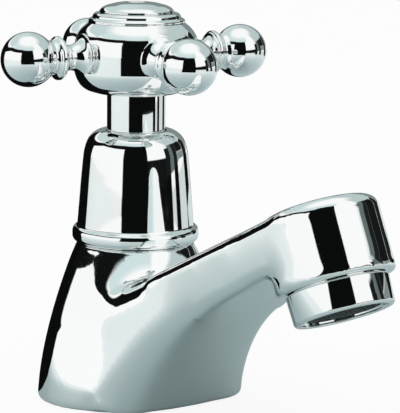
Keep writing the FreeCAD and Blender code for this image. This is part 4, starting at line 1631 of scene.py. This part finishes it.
@dataclass
class Panel:
    """A far panel round the tap, seen only in the chrome.

    Azimuth runs from +X towards +Y and elevation above the horizon, in degrees. The
    lower and upper edges may rise from one side of the panel to the other.
    """

    name: str
    azimuth: tuple[float, float]
    lower: tuple[float, float]
    upper: tuple[float, float]
    shade: float
    soft: float = 1.5
    distance: float = 4.0
    middle: float = 0.06
    column_width: float = 5.0
    rows: int = 5
    top_fade: float = 1.6

    def hang(self) -> None:
        """Bridges upright arcs into a patch of a sphere, faded at its sides and top."""
        shape = bmesh.new()
        cover = shape.verts.layers.float.new("cover")
        sweep = self.azimuth[1] - self.azimuth[0]
        margin = self.soft / sweep
        columns = max(3, int(sweep / self.column_width))
        inner = [margin + (1 - 2 * margin) * column / columns for column in range(columns + 1)]
        edges: list[Edge] = []
        for share in (0.0, *inner, 1.0):
            arc = self._arc(shape, share, cover, share in (0.0, 1.0))
            if edges:
                bmesh.ops.bridge_loops(shape, edges=edges + arc)
            edges = arc
        stage_card(self.name, shape, Glow(self.name, self.shade, True).make())

    def _arc(self, shape: Shape, share: float, cover: bmesh.types.BMLayerItem,
             outside: bool) -> list[Edge]:
        """Draws the arc at a share of the way from the first side to the second.

        Args:
            shape: what the arc is drawn in.
            share: 0 at the first side and 1 at the second.
            cover: the layer that says how far each point covers what is behind.
            outside: whether the arc is one of the two sides, where nothing covers.

        Returns:
            The arc's edges, from the lower one up.
        """
        turn, low, high = (math.radians(first + (second - first) * share) for first, second
                           in (self.azimuth, self.lower, self.upper))
        fade = math.radians(self.soft * self.top_fade)
        inner = [low + (high - fade - low) * step / self.rows for step in range(self.rows + 1)]
        points = []
        for rise in (*inner, high):
            flat = self.distance * math.cos(rise)
            point = shape.verts.new((flat * math.cos(turn), flat * math.sin(turn),
                                     self.distance * math.sin(rise) + self.middle))
            point[cover] = 0.0 if outside or rise == high else 1.0
            points.append(point)
        return [shape.edges.new(pair) for pair in zip(points, points[1:])]


@dataclass
class TableCard:
    """A sector of card on the table, seen only in the chrome."""

    name: str
    azimuth: tuple[float, float]
    reach: tuple[float, float]
    lift: float
    centre: tuple[float, float] = (0.0, 0.0)
    steps: int = 64

    def lay(self, material: bpy.types.Material) -> None:
        """Spins a radial line into the sector.

        Args:
            material: the card's surface.
        """
        shape = bmesh.new()
        ends = [shape.verts.new((reach, 0.0, self.lift)) for reach in self.reach]
        shape.edges.new(ends)
        start, stop = (math.radians(angle) for angle in self.azimuth)
        bmesh.ops.rotate(shape, verts=shape.verts, cent=(0, 0, 0),
                         matrix=Matrix.Rotation(start, 3, "Z"))
        bmesh.ops.spin(shape, geom=shape.verts[:] + shape.edges[:], cent=(0, 0, 0),
                       axis=(0, 0, 1), dvec=(0, 0, 0), angle=stop - start, steps=self.steps,
                       use_merge=False, use_duplicate=False)
        bmesh.ops.translate(shape, vec=(*self.centre, 0.0), verts=shape.verts)
        bmesh.ops.recalc_face_normals(shape, faces=shape.faces)
        stage_card(self.name, shape, material)


@dataclass
class Studio:
    """Pale floor, plain soft light and the cards that the chrome shows."""

    light: float = 0.9
    floor_colour: Colour = (0.80, 0.81, 0.805)
    # The table's grey near the tap holds painted shade; the paler colour after it, farther out, is
    # painted glancing reflection.
    table_colour: Colour = (0.36, 0.47, 0.48)
    glare_colour: Colour = (0.80, 0.88, 0.88)
    floor_size: float = 6.0
    floor_gap: float = 0.0001
    lamp_place: tuple[float, float, float] = (-0.4, -0.9, 1.5)
    lamp_target: tuple[float, float, float] = (0.03, 0.0, 0.05)
    lamp_size: float = 1.2
    lamp_power: float = 4.0

    def build(self) -> None:
        """Sets up the world, the floor, the key light and the cards."""
        self._world()
        self._floor()
        self._key()
        for panel in self.panels():
            panel.hang()
        # The table card carries painted shade near the tap and painted glancing reflection farther
        # out.
        table = ShadeAndGlarePaint("table", self.table_colour, 0.5, self.glare_colour).make()
        TableCard("table", (0.0, 360.0), (0.0, 0.42), 0.0001).lay(table)
        TableCard("table_right", (-9.0, 150.0), (0.42, 1.4), 0.0001).lay(table)
        TableCard("table_front", (205.0, 300.0), (0.42, 4.2), 0.0001).lay(table)
        dark = Glow("table_dark", 0.004).make()
        TableCard("table_left_dark", (128.0, 209.5), (0.0, 4.2), 0.0003,
                  (-0.009, -0.024)).lay(dark)
        TableCard("table_front_dark", (297.0, 351.0), (0.38, 4.2), 0.0002).lay(dark)
        TableCard("table_right_dark", (-9.0, 36.0), (1.0, 4.2), 0.0002).lay(dark)
        for first, last in ((35.0, 47.0), (57.0, 69.0), (93.0, 112.0)):
            TableCard(f"table_post_{first:.0f}", (first, last), (0.5, 4.2), 0.0002).lay(dark)

    def panels(self) -> list[Panel]:
        """Lists the dark room between the white lights.

        Returns:
            The panels, in the order in which they are hung.
        """
        return [
            Panel("camera_side", (297.0, 352.0), (-2.0, -2.0), (44.0, 44.0), 0.004),
            Panel("left_dark", (159.0, 210.5), (-2.0, -2.0), (24.0, 28.0), 0.004),
            Panel("left_arch", (194.0, 240.0), (8.0, 27.0), (22.0, 41.0), 0.006, 2.0, 3.9),
            Panel("front_arch", (236.0, 301.0), (26.5, 31.5), (40.0, 46.0), 0.006, 2.0, 3.9),
            Panel("left_haze", (140.0, 236.0), (23.0, 38.0), (68.0, 68.0), 0.7, 9.0, 4.3),
            Panel("front_haze", (224.0, 366.0), (42.0, 42.0), (68.0, 68.0), 0.78, 9.0, 4.3),
            Panel("right_line", (-11.0, 38.0), (-2.0, -2.0), (7.0, 9.0), 0.008),
            Panel("right_post", (34.0, 49.0), (-2.0, -2.0), (26.0, 26.0), 0.012),
            Panel("right_grey", (46.0, 59.0), (-2.0, -2.0), (31.0, 31.0), 0.16),
            Panel("back_post", (56.0, 70.0), (-2.0, -2.0), (31.0, 31.0), 0.015),
            Panel("back_grey", (69.0, 94.0), (-2.0, -2.0), (12.0, 8.0), 0.26),
            Panel("back_line", (68.0, 94.0), (11.0, 7.0), (30.0, 27.0), 0.01),
            Panel("far_post", (93.0, 113.0), (-2.0, -2.0), (24.0, 24.0), 0.015),
            Panel("far_grey", (112.0, 161.0), (-2.0, -2.0), (26.0, 26.0), 0.26),
            Panel("back_haze", (40.0, 166.0), (24.0, 24.0), (68.0, 68.0), 0.6, 9.0, 4.35),
        ]

    def _world(self) -> None:
        """White for the camera and for reflections, plain light for the rest."""
        world = bpy.data.worlds.new("studio")
        world.use_nodes = True
        bpy.context.scene.world = world
        graph = Graph(world.node_tree)
        strength = graph.seen() * (1.0 - self.light) + self.light
        sky = graph.node("ShaderNodeBackground",
                         inputs={"Color": (1.0, 1.0, 1.0, 1.0), "Strength": strength})
        graph.node("ShaderNodeOutputWorld", inputs={"Surface": sky})

    def _floor(self) -> None:
        """A wide pale floor just under the plane of the deck."""
        shape = bmesh.new()
        bmesh.ops.create_grid(shape, x_segments=1, y_segments=1, size=self.floor_size,
                              matrix=Matrix.Translation((0.0, 0.0, -self.floor_gap)))
        floor = add_object("floor", shape, Ground("pale_floor", self.floor_colour).make())

    def _key(self) -> None:
        """One broad soft lamp from the upper left."""
        lamp = bpy.data.lights.new("key", "AREA")
        lamp.shape = "DISK"
        lamp.size = self.lamp_size
        lamp.energy = self.lamp_power
        key = bpy.data.objects.new("key", lamp)
        bpy.context.scene.collection.objects.link(key)
        key.location = self.lamp_place
        key.rotation_euler = (Vector(self.lamp_target) - key.location).to_track_quat(
            "-Z", "Y").to_euler()
        key.visible_glossy = False


@dataclass
class Viewpoint:
    """The camera, as fitted to the photograph."""

    azimuth: float = 55.5
    distance: float = 628.9
    height: float = 164.1
    focal_pixels: float = 2236.2
    frame_width: float = 400.0
    pitch: float = 9.953
    yaw: float = 1.677
    roll: float = 0.662
    sensor: float = 36.0
    clip: tuple[float, float] = (0.01, 100.0)

    def set_up(self) -> None:
        """Makes the camera and gives it to the scene."""
        turn = math.radians(self.azimuth)
        right = Vector((math.cos(turn), math.sin(turn), 0.0))
        away = Vector((-math.sin(turn), math.cos(turn), 0.0))
        up = Vector((0.0, 0.0, 1.0))
        yaw, pitch, roll = (math.radians(a) for a in (self.yaw, self.pitch, self.roll))
        ahead = (right * math.sin(yaw) * math.cos(pitch) + away * math.cos(yaw) * math.cos(pitch)
                 - up * math.sin(pitch))
        across = right * math.cos(yaw) - away * math.sin(yaw)
        above = across.cross(ahead)
        tilted = across * math.cos(roll) + above * math.sin(roll)
        above = above * math.cos(roll) - across * math.sin(roll)
        place = (up * self.height - away * self.distance) * MM
        lens = bpy.data.cameras.new("camera")
        lens.sensor_width = self.sensor
        lens.sensor_fit = "HORIZONTAL"
        lens.lens = self.focal_pixels / self.frame_width * self.sensor
        lens.clip_start, lens.clip_end = self.clip
        camera = bpy.data.objects.new("camera", lens)
        axes = Matrix((tilted, above, -ahead)).transposed().to_4x4()
        camera.matrix_world = Matrix.Translation(place) @ axes
        bpy.context.scene.collection.objects.link(camera)
        bpy.context.scene.camera = camera


def main() -> None:
    """Builds the tap, the studio and the camera."""
    logging.basicConfig(level=logging.INFO, format="%(name)s: %(message)s")
    bpy.context.scene.view_settings.view_transform = "Standard"
    Tap(Workshop()).build()
    Studio().build()
    Viewpoint().set_up()


if __name__ == "__main__":
    main()
